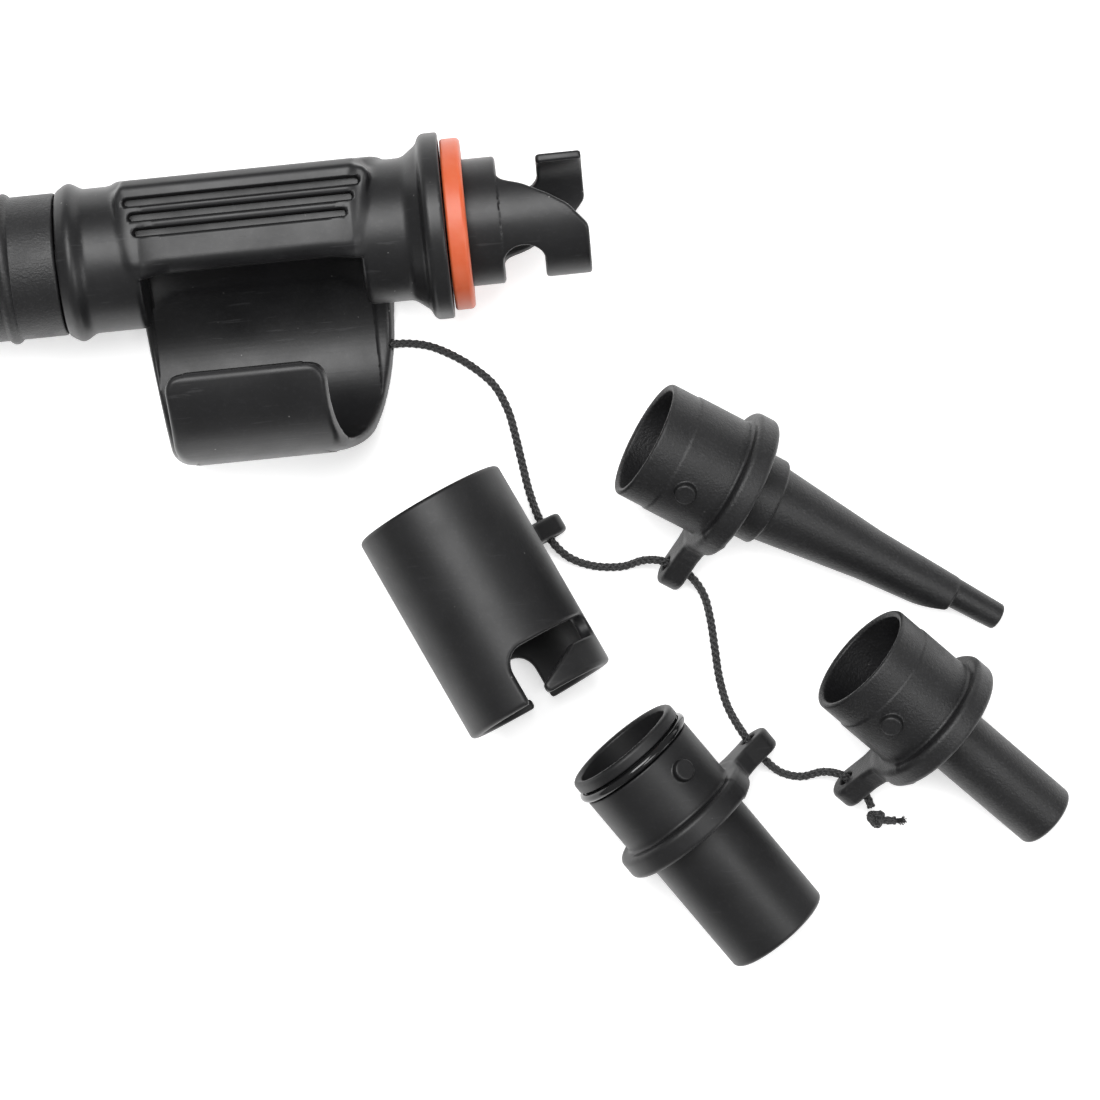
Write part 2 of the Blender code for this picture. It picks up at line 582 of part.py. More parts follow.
def fitting_seals(parts, rubber, orange, steel):
    """Orange flange seal, the nozzle's and spigot's O-rings and the ring that holds the hose cuff."""
    section = (GROOVE_DEPTH - TOUCH) / 2
    ring = o_ring("nozzle_o_ring", INSERT_RADIUS - section + 0.0001, section, along(-0.0089), parts)
    ring.data.materials.append(rubber)
    inner, outer = NOZZLE_RADIUS + TOUCH, SEAL_RADIUS
    back, front, edge = TOUCH, TOUCH + SEAL_THICKNESS, 0.0006
    profile = [(inner, front), (outer - edge, front), (outer, front - edge), (outer, back + edge / 2),
               (outer - edge / 2, back), (inner, back)]
    seal = turned("valve_seal", profile, FACETS, AXIS, parts)
    seal.data.materials.append(orange)
    floor = SPIGOT_RADIUS - GROOVE_DEPTH
    section = (SPIGOT_RADIUS + RUNNING - floor - 2 * TOUCH) / 2
    swivel = o_ring("swivel_o_ring", floor + TOUCH + section, section, along(SWIVEL_RING_STATION), parts)
    swivel.data.materials.append(rubber)
    middle = CUFF_SHOULDER - TOUCH - RING_WIDTH / 2
    profile = ((SPIGOT_RADIUS + 0.0011, RING_WIDTH / 2), (SPIGOT_RADIUS + 0.0011, -RING_WIDTH / 2),
               (floor + TOUCH, -RING_WIDTH / 2), (floor + TOUCH, RING_WIDTH / 2))
    snap = turned("swivel_snap_ring", profile, RING_FACETS, along(middle), parts)
    snap.data.materials.append(steel)


def hose_cuff(parts, grained):
    """Plain end of the hose with its rib, turning on the spigot."""
    bore = SPIGOT_RADIUS + RUNNING
    wide = SPIGOT_RADIUS + 0.0016
    start = BODY_END - TOUCH
    rib = [(CUFF_RADIUS + (CUFF_RIB - CUFF_RADIUS) * math.sin(step * math.pi / 4),
            CUFF_RIB_CENTRE + 0.0013 - 0.0013 * step / 2) for step in range(5)]
    profile = [(bore, start), (CUFF_RADIUS - 0.0004, start), (CUFF_RADIUS, start - 0.0004), *rib,
               (CUFF_RADIUS, CUFF_END), (SPIGOT_BORE, CUFF_END), (SPIGOT_BORE, SPIGOT_END - 0.0010),
               (wide, SPIGOT_END - 0.0010), (wide, CUFF_SHOULDER), (bore, CUFF_SHOULDER)]
    cuff = turned("hose_cuff", profile, FEWER_FACETS, AXIS, parts)
    cuff.data.materials.append(grained)
    return cuff


# ---- hose and pump end -------------------------------------------------------------------------------

def pump_frame():
    """Turning frame at the hose's far end, its Z along the hose's last stretch."""
    last, before = Vector(HOSE_ROUTE[-1]), Vector(HOSE_ROUTE[-2])
    turn = (last - before).to_track_quat("Z", "Y").to_matrix().to_4x4()
    return Matrix.Translation(last) @ turn


def hose_and_pump_end(parts, hose_black, grained, black, rubber):
    """The hose in its wide turn, the cuff fixed on its far end, and the turning connector."""
    hose = cord("hose", HOSE_ROUTE, HOSE_RADIUS, 0.026, 3, parts)
    hose.data.materials.append(hose_black)
    frame = pump_frame()
    rim = PUMP_CUFF_RADIUS
    profile = [(CONNECTOR_BORE, PUMP_CUFF_LENGTH), (rim - 0.0008, PUMP_CUFF_LENGTH), (rim, PUMP_CUFF_LENGTH - 0.0008),
               (rim, TOUCH + 0.0008), (rim - 0.0008, TOUCH), (0.0, TOUCH), (0.0, 0.010), (CONNECTOR_BORE, 0.010)]
    cuff = turned("pump_end_cuff", profile, FEWER_FACETS, frame, parts)
    cuff.data.materials.append(grained)
    start = PUMP_CUFF_LENGTH + TOUCH
    end = start + CONNECTOR_LENGTH
    neck, floor = CONNECTOR_BORE - RUNNING, CONNECTOR_RADIUS - GROOVE_DEPTH
    profile = [(neck - 0.0020, end), (CONNECTOR_RADIUS - 0.0010, end), (CONNECTOR_RADIUS, end - 0.0010),
               (CONNECTOR_RADIUS, end - 0.0080), (floor, end - 0.0080), (floor, end - 0.0104),
               (CONNECTOR_RADIUS, end - 0.0104), (CONNECTOR_RADIUS, start + 0.0080), (rim, start + 0.0070),
               (rim, start), (neck, start), (neck, 0.0140), (neck - 0.0020, 0.0140)]
    connector = turned("pump_end_connector", profile, FEWER_FACETS, frame, parts)
    connector.data.materials.append(black)
    section = 0.0007
    spot = frame @ Matrix.Translation((0.0, 0.0, end - 0.0092))
    ring = o_ring("pump_end_o_ring", floor + TOUCH + section, section, spot, parts)
    ring.data.materials.append(rubber)


# ---- adapters ----------------------------------------------------------------------------------------

def resting_frame(spot, heading, tilt, side, rim, drop, lug):
    """Frame of an adapter lying on the surface: Z along its axis from its mouth, X towards its lug.

    rim is (radius, station) of the edge it rests on, drop the station's share in the tilt, and
    lug is (centre, radius, thickness, station). The lug's tip touches the surface too: side is +1
    where it lies to the left of the axis, and -1 to the right.
    """
    height = rim[0] * math.cos(tilt) + max(drop * math.sin(tilt), 0.0)
    centre, tip_radius, thickness, station = lug
    at_lug = (height - station * math.sin(tilt) - thickness / 2 * abs(math.sin(tilt))) / math.cos(tilt)
    roll = side * math.acos((at_lug - tip_radius) / centre)
    turn = Matrix.Rotation(math.radians(heading), 4, "Z") @ Matrix.Rotation(math.pi / 2 + tilt, 4, "Y")
    return Matrix.Translation((*spot, height)) @ turn @ Matrix.Rotation(roll, 4, "Z")


def lug_outline(centre, radius, root):
    """Outline of a lug: wide at its root, a narrow stem, a round tip."""
    tip = arc((centre, 0.0), radius, -80.0, 80.0, 8)
    side = [(centre - 0.0080, radius + 0.0008), (centre - 0.0115, radius + 0.0034), (root * 0.45, root * 0.82)]
    return tip + side + [(x, -y) for x, y in side[::-1]]


def add_lug(body, frame, centre, radius, span, root, guides):
    """Join a lug to a body and bore its cord hole."""
    middle = frame @ Matrix.Translation((0.0, 0.0, (span[0] + span[1]) / 2))
    thickness = span[1] - span[0]
    combine(body, prism(f"{body.name}_lug", lug_outline(centre, radius, root), thickness, middle, guides), "UNION")
    hole = middle @ Matrix.Translation((centre, 0.0, 0.0))
    combine(body, cylinder(f"{body.name}_hole", LUG_HOLE, -thickness, thickness, 14, hole, guides), "DIFFERENCE")


def hang_on_pivot(body, frame, offset, station, parts):
    """Parent a body to an empty on its lug hole's axis."""
    pivot = bpy.data.objects.new(f"{body.name}_pivot", None)
    place(pivot, parts, frame @ Matrix.Translation((offset, 0.0, station)))
    bpy.context.view_layer.update()
    spot = body.matrix_world.copy()
    body.parent = pivot
    body.matrix_parent_inverse = pivot.matrix_world.inverted()
    body.matrix_world = spot
    return pivot


def socket_profile(inner_end):
    """The shared socket of the three plug-in adapters, rim included, down to where the outlet starts."""
    edge = 0.0008
    low, high = RIM_SPAN
    return [(SOCKET_BORE, SOCKET_DEPTH), (SOCKET_BORE, 0.0005), (SOCKET_BORE + 0.0004, 0.0),
            (SOCKET_LIP_RADIUS - 0.0004, 0.0), (SOCKET_LIP_RADIUS, 0.0005), (SOCKET_LIP_RADIUS, SOCKET_LIP),
            (SOCKET_RADIUS, SOCKET_LIP + 0.0006), (SOCKET_RADIUS, low), (RIM_RADIUS - edge, low),
            (RIM_RADIUS, low + edge), (RIM_RADIUS, high - edge), (RIM_RADIUS - edge, high), (inner_end, high)]


def plug_in_adapter(name, spot, heading, side, outlet, end, parts, guides, black, mouth=None):
    """An adapter with the shared socket: outlet is its profile from the rim to its end and back."""
    mouth = mouth or socket_profile
    end_radius, length = end
    tilt = math.atan2(RIM_RADIUS - end_radius, length - RIM_SPAN[1])
    station = sum(RIM_SPAN) / 2
    lug = (LUG_TIP_CENTRE, LUG_TIP_RADIUS, LUG_THICKNESS, station)
    frame = resting_frame(spot, heading, tilt, side, (RIM_RADIUS, 0.0), RIM_SPAN[1], lug)
    body = turned(name, (mouth(outlet[0][0]) + outlet)[::-1], FEWER_FACETS, frame, parts)
    body.data.materials.append(black)
    span = (station - LUG_THICKNESS / 2, station + LUG_THICKNESS / 2)
    add_lug(body, frame, LUG_TIP_CENTRE, LUG_TIP_RADIUS, span, RIM_RADIUS, guides)
    clear = cylinder(f"{name}_clear", SOCKET_BORE, 0.002, SOCKET_DEPTH, FEWER_FACETS, frame, guides)
    combine(body, clear, "DIFFERENCE")
    for turn in (90.0, -90.0):
        boss = frame @ Matrix.Translation((0, 0, BOSS_STATION)) @ Matrix.Rotation(math.radians(turn), 4, "Z")
        boss = boss @ Matrix.Rotation(math.pi / 2, 4, "Y")
        stud = cylinder(f"{name}_boss_{turn:.0f}", BOSS_RADIUS, SOCKET_RADIUS - 0.0008,
                        SOCKET_RADIUS + BOSS_HEIGHT, 16, boss, guides)
        combine(body, stud, "UNION")
    return body, frame, station


def grooved_profile(inner_end):
    """The large adapter's socket: a rounded rim and an O-ring groove before the plain socket."""
    low, high = GROOVE
    rest = socket_profile(inner_end)[7:]
    return [(SOCKET_BORE, SOCKET_DEPTH), (SOCKET_BORE, 0.0005), (SOCKET_BORE + 0.0004, 0.0),
            (SOCKET_RADIUS - 0.0006, 0.0), (SOCKET_RADIUS, 0.0007), (SOCKET_RADIUS, low - 0.0004),
            (SOCKET_RADIUS - 0.0004, low), (GROOVE_FLOOR, low), (GROOVE_FLOOR, high), (SOCKET_RADIUS - 0.0002, high),
            (SOCKET_RADIUS, high + 0.0004), *rest]


def taper_radius(station):
    """Radius of the cone past its knee, its line carried on to the end of the tip."""
    knee_radius, knee = TAPER_KNEE
    end_radius, end = TAPER_CONE_END
    return knee_radius + (end_radius - knee_radius) * (station - knee) / (end - knee)


def tapered_adapter(parts, guides, black):
    """Long nozzle: a collar, a cone cut slantwise on the lug's side, and a narrow tip.

    The tip's far side carries on the cone's own line, so the tip leans a little and narrows to its end.
    """
    collar, collar_end = TAPER_COLLAR
    cone_radius, cone_end = TAPER_CONE_END
    outlet = [(collar, RIM_SPAN[1]), (collar, collar_end - 0.0005), (collar - 0.0005, collar_end),
              (TAPER_ROOT, collar_end), TAPER_KNEE, (cone_radius, cone_end), (TAPER_BORE, cone_end),
              (TAPER_BORE, 0.060), (0.0058, 0.030), (0.0058, SOCKET_DEPTH)]
    body, frame, station = plug_in_adapter("tapered_adapter", TAPERED_SPOT, TAPERED_HEADING, -1, outlet,
                                           (TAPER_TIP_RADIUS, TAPER_LENGTH), parts, guides, black)
    start, end = TAPER_CUT
    far = taper_radius(TAPER_LENGTH)
    near = 2 * TAPER_TIP_RADIUS - far
    slant = math.atan2(taper_radius(start) - near, end - start)
    cut = frame @ Matrix.Translation((taper_radius(start), 0.0, start)) @ Matrix.Rotation(-slant, 4, "Y")
    wedge = prism("taper_cut", ((0.0, -0.008), (0.012, -0.008), (0.012, 0.008), (0.0, 0.008)), 0.024, cut, guides)
    combine(body, wedge, "DIFFERENCE")
    root = start - TAPER_HIDDEN
    reach = TAPER_LENGTH - root
    lean = math.atan2(taper_radius(root) - far, 2 * reach)
    tip_end = frame @ Matrix.Translation(((near - far) / 2, 0.0, TAPER_LENGTH)) @ Matrix.Rotation(lean, 4, "Y")
    root_radius = (taper_radius(root) + near) / 2 - TAPER_INSET
    tip = turned("taper_tip", ((0.0, 0.0), (TAPER_TIP_RADIUS, 0.0), (root_radius, -reach), (0.0, -reach)), 24,
                 tip_end, guides)
    combine(body, tip, "UNION")
    bore = cylinder("taper_bore", TAPER_BORE, TAPER_BORE_START - TAPER_LENGTH, 0.001, 16, tip_end, guides)
    combine(body, bore, "DIFFERENCE")
    hang_on_pivot(body, frame, LUG_TIP_CENTRE, station, parts)


def straight_adapter(parts, guides, black):
    """Short straight nozzle with a rounded end."""
    radius, end = STRAIGHT_RADIUS, STRAIGHT_LENGTH
    outlet = [(radius, RIM_SPAN[1]), (radius, end - 0.0008), (radius - 0.0008, end), (STRAIGHT_BORE, end),
              (STRAIGHT_BORE, SOCKET_DEPTH)]
    body, frame, station = plug_in_adapter("straight_adapter", STRAIGHT_SPOT, STRAIGHT_HEADING, -1, outlet,
                                           (radius, end), parts, guides, black)
    hang_on_pivot(body, frame, LUG_TIP_CENTRE, station, parts)


def large_adapter(parts, guides, black, rubber):
    """Wide nozzle with an O-ring at its mouth."""
    radius, end = LARGE_RADIUS, LARGE_LENGTH
    outlet = [(radius, RIM_SPAN[1]), (radius, end - 0.0008), (radius - 0.0008, end), (LARGE_BORE, end),
              (LARGE_BORE, SOCKET_DEPTH)]
    body, frame, station = plug_in_adapter("large_adapter", LARGE_SPOT, LARGE_HEADING, 1, outlet,
                                           (radius, end), parts, guides, black, grooved_profile)
    pivot = hang_on_pivot(body, frame, LUG_TIP_CENTRE, station, parts)
    spot = frame @ Matrix.Translation((0.0, 0.0, sum(GROOVE) / 2))
    ring = o_ring("large_adapter_o_ring", GROOVE_FLOOR + TOUCH + ADAPTER_RING, ADAPTER_RING, spot, parts)
    ring.data.materials.append(rubber)
    ring.parent = pivot
    ring.matrix_parent_inverse = pivot.matrix_world.inverted()
    ring.matrix_world = spot


def j_slot_sections():
    """Sections of the slot a boss runs in: an axial way in, a ramp, and a round seat."""
    low, high = J_SLOT
    half = (high - low) / 2
    beyond = SLEEVE_LENGTH + 0.001
    corner = 0.0045
    sections = [(-J_ENTRY + 2 * J_ENTRY * step / 5, low + corner * (1.0 - math.sqrt(1.0 - (1.0 - step / 5) ** 2)),
                 beyond) for step in range(6)]
    sections += [
        (J_ENTRY + 0.5, low, SLEEVE_LENGTH - 0.0016)]
    for step in range(1, 7):
        share = step / 6
        angle = J_ENTRY + 0.5 + (J_RAMP_END - J_ENTRY) * share
        sections.append((angle, low, SLEEVE_LENGTH - 0.0016 + (high - SLEEVE_LENGTH + 0.0016) * share))
    seat_span = math.degrees(half / SLEEVE_RADIUS)
    for step in range(4):
        sections.append((J_RAMP_END + 2.0 + (J_SEAT - seat_span - J_RAMP_END - 2.0) * step / 3, low, high))
    for step in range(1, 5):
        share = 0.97 * step / 4
        reach = half * math.sqrt(1.0 - share ** 2)
        sections.append((J_SEAT - seat_span + seat_span * share, low + half - reach, low + half + reach))
    return [(-angle, bottom, top) for angle, bottom, top in sections]


def sleeve_adapter(parts, guides, black, steel):
    """The sleeve that locks on the nozzle's hooks and takes the other adapters in its J slots."""
    tilt = math.radians(SLEEVE_TILT)
    station = sum(SLEEVE_LUG) / 2
    lug = (SLEEVE_LUG_TIP, SLEEVE_LUG_RADIUS, SLEEVE_LUG[1] - SLEEVE_LUG[0], station)
    frame = resting_frame(SLEEVE_SPOT, SLEEVE_HEADING, tilt, 1, (SLEEVE_RADIUS, 0.0), SLEEVE_LENGTH, lug)
    outer, bore, edge = SLEEVE_RADIUS, SLEEVE_BORE, 0.0005
    profile = [(bore, SLEEVE_LENGTH), (outer - edge, SLEEVE_LENGTH), (outer, SLEEVE_LENGTH - edge), (outer, edge),
               (outer - edge, 0.0), (bore, 0.0)]
    body = turned("sleeve_adapter", profile, FACETS, frame, parts)
    body.data.materials.append(black)
    add_lug(body, frame, SLEEVE_LUG_TIP, SLEEVE_LUG_RADIUS, SLEEVE_LUG, SLEEVE_RADIUS * 0.72, guides)
    clear = cylinder("sleeve_clear", bore, 0.010, 0.030, FACETS, frame, guides)
    combine(body, clear, "DIFFERENCE")
    lug_from_top = roll_of(frame)
    for number in range(2):
        start = frame @ Matrix.Rotation(lug_from_top + math.pi * number, 4, "Z")
        combine(body, arc_block(f"j_slot_{number}", (bore - 0.002, outer + 0.002), j_slot_sections(), start, guides),
                "DIFFERENCE")
    pivot = hang_on_pivot(body, frame, SLEEVE_LUG_TIP, station, parts)
    for number, side in enumerate("ab"):
        across = frame @ Matrix.Translation((0, 0, PIN_STATION))
        across = across @ Matrix.Rotation(math.pi * (0.5 + number), 4, "Z") @ Matrix.Rotation(math.pi / 2, 4, "Y")
        hole = cylinder(f"pin_hole_{side}", PIN_RADIUS + TOUCH, bore - 0.001, outer - 0.0007, 16, across, guides)
        combine(body, hole, "DIFFERENCE")
        pin = cylinder(f"sleeve_pin_{side}", PIN_RADIUS, bore - 0.0017, outer - 0.0010, 16, across, parts)
        pin.data.materials.append(steel)
        pin.parent = pivot
        pin.matrix_parent_inverse = pivot.matrix_world.inverted()
        pin.matrix_world = across


def roll_of(frame):
    """Angle about the frame's Z from its X to the direction that looks up."""
    up = frame.to_3x3().inverted() @ Vector((0.0, 0.0, 1.0))
    return math.atan2(up.y, up.x)


# ---- tether --------------------------------------------------------------------------------------------

def tether(parts, guides, braid):
    """The braided cord from the clip through every lug, and the knot with its tail that ends it."""
    line = cord("tether_cord", TETHER_ROUTE, CORD_RADIUS, 0.0022, 2, parts)
    line.data.materials.append(braid)
    last, before = Vector(TETHER_ROUTE[-1]), Vector(TETHER_ROUTE[-2])
    centre = last + (last - before).normalized() * (KNOT_RADIUS + TOUCH)
    mesh = bpy.data.meshes.new("tether_end_knot")
    build = bmesh.new()
    bmesh.ops.create_uvsphere(build, u_segments=14, v_segments=9, radius=KNOT_RADIUS)
    build.to_mesh(mesh)
    build.free()
    knot = place(bpy.data.objects.new("tether_end_knot", mesh), parts, Matrix.Translation(centre))
    knot.data.materials.append(braid)
    tail = cord("knot_tail", [centre + Vector(point) for point in KNOT_TAIL], CORD_RADIUS, 0.0016, 2, guides)
    combine(knot, meshed(tail, guides), "UNION")


def centre_origin(parts, guides):
    """Move everything so that the origin is under the middle of the rigid pieces."""
    bpy.context.view_layer.update()
    graph = bpy.context.evaluated_depsgraph_get()
    corners = []
    for obj in parts.objects:
        if obj.type != "EMPTY" and obj.name not in FREE_NODES:
            ready = obj.evaluated_get(graph)
            mesh = ready.to_mesh()
            corners += [ready.matrix_world @ vertex.co for vertex in mesh.vertices]
            ready.to_mesh_clear()
    low, high = [Vector([pick(corner[axis] for corner in corners) for axis in range(3)]) for pick in (min, max)]
    shift = Vector(((low.x + high.x) / 2, (low.y + high.y) / 2, low.z))
    for obj in (*parts.objects, *guides.objects):
        if obj.parent is None:
            obj.matrix_world = Matrix.Translation(-shift) @ obj.matrix_world
    return shift


def main():
    for obj in list(bpy.data.objects):
        bpy.data.objects.remove(obj)
    parts = collection("air pump hose end")
    guides = collection("cutters")
    black = material("black plastic", BLACK_PLASTIC, 0.38)
    grained = material("grained plastic", BLACK_PLASTIC, 0.55)
    hose_black = material("hose", GREY_HOSE, 0.45)
    rubber = material("black rubber", BLACK_RUBBER, 0.25)
    orange = material("orange seal", ORANGE, 0.45)
    steel = material("steel", STEEL, 0.25, 1.0)
    braid = material("braided cord", BLACK_RUBBER, 0.8)

    fitting_body(parts, guides, black)
    bayonet_nozzle(parts, guides, black)
    fitting_seals(parts, rubber, orange, steel)
    hose_cuff(parts, grained)
    hose_and_pump_end(parts, hose_black, grained, black, rubber)
    sleeve_adapter(parts, guides, black, steel)
    tapered_adapter(parts, guides, black)
    straight_adapter(parts, guides, black)
    large_adapter(parts, guides, black, rubber)
    tether(parts, guides, braid)
    return centre_origin(parts, guides)


main()
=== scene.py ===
"""Hose end of an electric air mattress pump with four valve adapters on a braided tether.

The moulded pieces are solids described by their distance fields, so that unions and cuts get the soft
fillets and edges of injection moulding. The hose, the braid and the frayed tail are Geometry Nodes
trees that follow curves. Lengths are in metres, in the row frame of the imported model.
"""

from __future__ import annotations

import json
import logging
import math
from dataclasses import dataclass, field
from enum import Enum
from typing import Callable, Sequence

import bpy
import numpy as np
from mathutils import Matrix, Vector

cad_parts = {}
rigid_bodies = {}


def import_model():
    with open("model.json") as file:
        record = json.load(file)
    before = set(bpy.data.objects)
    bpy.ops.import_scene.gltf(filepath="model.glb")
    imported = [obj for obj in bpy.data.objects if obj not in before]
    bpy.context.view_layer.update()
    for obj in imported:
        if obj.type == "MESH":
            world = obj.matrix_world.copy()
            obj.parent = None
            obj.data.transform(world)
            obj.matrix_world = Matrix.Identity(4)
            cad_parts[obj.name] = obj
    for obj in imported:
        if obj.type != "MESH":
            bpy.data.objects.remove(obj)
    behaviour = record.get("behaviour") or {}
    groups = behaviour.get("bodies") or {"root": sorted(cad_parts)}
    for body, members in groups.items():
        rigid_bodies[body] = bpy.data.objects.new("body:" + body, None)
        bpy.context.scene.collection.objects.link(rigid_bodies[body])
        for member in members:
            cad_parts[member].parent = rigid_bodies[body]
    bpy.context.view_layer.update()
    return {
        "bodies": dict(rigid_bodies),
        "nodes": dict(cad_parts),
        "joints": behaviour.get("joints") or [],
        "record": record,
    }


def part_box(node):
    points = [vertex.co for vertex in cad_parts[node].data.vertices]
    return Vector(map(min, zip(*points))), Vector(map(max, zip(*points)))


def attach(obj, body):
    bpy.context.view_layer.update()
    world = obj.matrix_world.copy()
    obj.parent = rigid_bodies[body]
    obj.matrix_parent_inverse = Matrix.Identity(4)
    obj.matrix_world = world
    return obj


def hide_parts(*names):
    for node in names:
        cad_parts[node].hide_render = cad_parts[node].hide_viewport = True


LOG = logging.getLogger("hose_end")
Points = np.ndarray
Field = Callable[[Points], np.ndarray]
Corner = Sequence[float]
MM = 0.001


# ---- outlines ------------------------------------------------------------------------------------

def arc(centre: Corner, radius: float, start: float, end: float, steps: int) -> list[tuple[float, float]]:
    """Points of an arc.

    Args:
        centre: Middle of the arc.
        radius: Radius of the arc.
        start: First angle in degrees.
        end: Last angle in degrees.
        steps: Number of chords.

    Returns:
        The points from start to end.
    """
    angles = [math.radians(start + (end - start) * step / steps) for step in range(steps + 1)]
    return [(centre[0] + radius * math.cos(a), centre[1] + radius * math.sin(a)) for a in angles]


def rounded(corners: Sequence[Corner], steps: int = 6) -> list[tuple[float, float]]:
    """Close an outline and round its corners.

    Args:
        corners: (x, y) or (x, y, radius) for each corner.
        steps: Chords in each rounded corner.

    Returns:
        The outline's points.
    """
    outline: list[tuple[float, float]] = []
    for index, corner in enumerate(corners):
        spot = Vector(corner[:2])
        radius = corner[2] if len(corner) > 2 else 0.0
        before, after = Vector(corners[index - 1][:2]), Vector(corners[(index + 1) % len(corners)][:2])
        if radius <= 0.0 or (before - spot).length < 1e-7 or (after - spot).length < 1e-7:
            outline.append(tuple(spot))
            continue
        back, ahead = (before - spot).normalized(), (after - spot).normalized()
        angle = back.angle(ahead)
        if angle > math.radians(176.0):
            outline.append(tuple(spot))
            continue
        reach = min(radius / math.tan(angle / 2), 0.49 * (before - spot).length, 0.49 * (after - spot).length)
        radius = reach * math.tan(angle / 2)
        centre = spot + (back + ahead).normalized() * (radius / math.sin(angle / 2))
        first, last = spot + back * reach - centre, spot + ahead * reach - centre
        for step in range(steps + 1):
            share = step / steps
            outline.append(tuple(centre + (first * (1 - share) + last * share).normalized() * radius))
    return outline


class Section:
    """Signed distance from a closed outline, read from a fine raster."""

    def __init__(self, outline: Sequence[Corner], raster: float = 0.00012, margin: float = 0.003) -> None:
        """Measure the raster once.

        Args:
            outline: The outline's points.
            raster: Spacing of the raster.
            margin: Room round the outline that the raster covers.
        """
        corners = np.array([point[:2] for point in outline], float)
        self.low = corners.min(0) - margin
        self.raster = raster
        self.count = np.ceil((corners.max(0) + margin - self.low) / raster).astype(int) + 1
        across, up = np.meshgrid(*[self.low[i] + raster * np.arange(self.count[i]) for i in (0, 1)],
                                 indexing="ij")
        best = np.full(across.shape, np.inf)
        inside = np.zeros(across.shape, bool)
        for start, end in zip(corners, np.roll(corners, -1, 0)):
            edge = end - start
            length = float(edge @ edge)
            if length < 1e-18:
                continue
            right, above = across - start[0], up - start[1]
            share = np.clip((right * edge[0] + above * edge[1]) / length, 0.0, 1.0)
            best = np.minimum(best, (right - share * edge[0]) ** 2 + (above - share * edge[1]) ** 2)
            if start[1] != end[1]:
                crosses = (start[1] > up) != (end[1] > up)
                inside ^= crosses & (across < edge[0] * above / edge[1] + start[0])
        self.grid = np.where(inside, -1.0, 1.0) * np.sqrt(best)

    def __call__(self, across: np.ndarray, up: np.ndarray) -> np.ndarray:
        """Distances at places in the outline's plane."""
        place_x, place_y = (across - self.low[0]) / self.raster, (up - self.low[1]) / self.raster
        held_x = np.clip(place_x, 0.0, self.count[0] - 1.001)
        held_y = np.clip(place_y, 0.0, self.count[1] - 1.001)
        cell_x, cell_y = held_x.astype(int), held_y.astype(int)
        part_x, part_y = held_x - cell_x, held_y - cell_y
        grid = self.grid
        near = grid[cell_x, cell_y] * (1 - part_x) + grid[cell_x + 1, cell_y] * part_x
        far = grid[cell_x, cell_y + 1] * (1 - part_x) + grid[cell_x + 1, cell_y + 1] * part_x
        outside = self.raster * np.hypot(place_x - held_x, place_y - held_y)
        return near * (1 - part_y) + far * part_y + outside


# ---- solids --------------------------------------------------------------------------------------

def soft_min(first: np.ndarray, second: np.ndarray, blend: float) -> np.ndarray:
    """The lower of two distances, with a fillet of about the blend's size where they meet."""
    if blend <= 0.0:
        return np.minimum(first, second)
    share = np.clip(0.5 + 0.5 * (second - first) / blend, 0.0, 1.0)
    return second + (first - second) * share - blend * share * (1.0 - share)


def soft_max(first: np.ndarray, second: np.ndarray, blend: float) -> np.ndarray:
    """The higher of two distances, with a rounded edge of about the blend's size."""
    return -soft_min(-first, -second, blend)


@dataclass(frozen=True)
class Solid:
    """A solid given by its distance field, negative inside."""

    distance: Field

    def join(self, other: Solid, blend: float = 0.0) -> Solid:
        """Both solids, with a fillet between them."""
        return Solid(lambda p: soft_min(self.distance(p), other.distance(p), blend))

    def cut(self, other: Solid, blend: float = 0.0) -> Solid:
        """This solid without the other, with rounded edges."""
        return Solid(lambda p: soft_max(self.distance(p), -other.distance(p), blend))

    def keep(self, other: Solid, blend: float = 0.0) -> Solid:
        """What both solids share, with rounded edges."""
        return Solid(lambda p: soft_max(self.distance(p), other.distance(p), blend))

    def placed(self, frame: Matrix) -> Solid:
        """The solid moved by a rigid frame."""
        turn, spot = np.array(frame.to_3x3()), np.array(frame.translation)
        return Solid(lambda p: self.distance((p - spot) @ turn))


def revolved(outline: Sequence[Corner]) -> Solid:
    """A solid of revolution about Z from an outline of (radius, height)."""
    section = Section(outline)
    return Solid(lambda p: section(np.hypot(p[:, 0], p[:, 1]), p[:, 2]))


def extruded(outline: Sequence[Corner], low: float, high: float, blend: float = 0.0) -> Solid:
    """A flat outline in XY thickened along Z from low to high."""
    section, middle, half = Section(outline), (low + high) / 2, (high - low) / 2
    return Solid(lambda p: soft_max(section(p[:, 0], p[:, 1]), np.abs(p[:, 2] - middle) - half, blend))


def rod(radius: float, low: float, high: float, blend: float = 0.0) -> Solid:
    """A cylinder about Z from low to high."""
    middle, half = (low + high) / 2, (high - low) / 2
    return Solid(lambda p: soft_max(np.hypot(p[:, 0], p[:, 1]) - radius, np.abs(p[:, 2] - middle) - half,
                                    blend))


def wrapped(corners: Sequence[Corner], radius: float, sense: float = 1.0, start: float = 0.0) -> Solid:
    """A cutter through a tube's wall, twice round it, from an outline drawn on the unrolled wall.

    Args:
        corners: (angle in degrees, station, corner radius) of the outline.
        radius: Radius on which the angles are laid out.
        sense: +1 where angles grow by the right-hand rule about Z, or -1.
        start: Angle of the zero line about Z, in radians.

    Returns:
        The cutter.
    """
    outline = rounded([(math.radians(angle) * radius, station, edge) for angle, station, edge in corners], 8)
    section = Section(outline)
    middle = math.radians((min(c[0] for c in corners) + max(c[0] for c in corners)) / 2)

    def distance(p: Points) -> np.ndarray:
        """Distance on the unrolled wall."""
        angle = sense * (np.arctan2(p[:, 1], p[:, 0]) - start)
        angle = np.mod(angle - middle + math.pi / 2, math.pi) - math.pi / 2 + middle
        return section(angle * radius, p[:, 2])

    return Solid(distance)


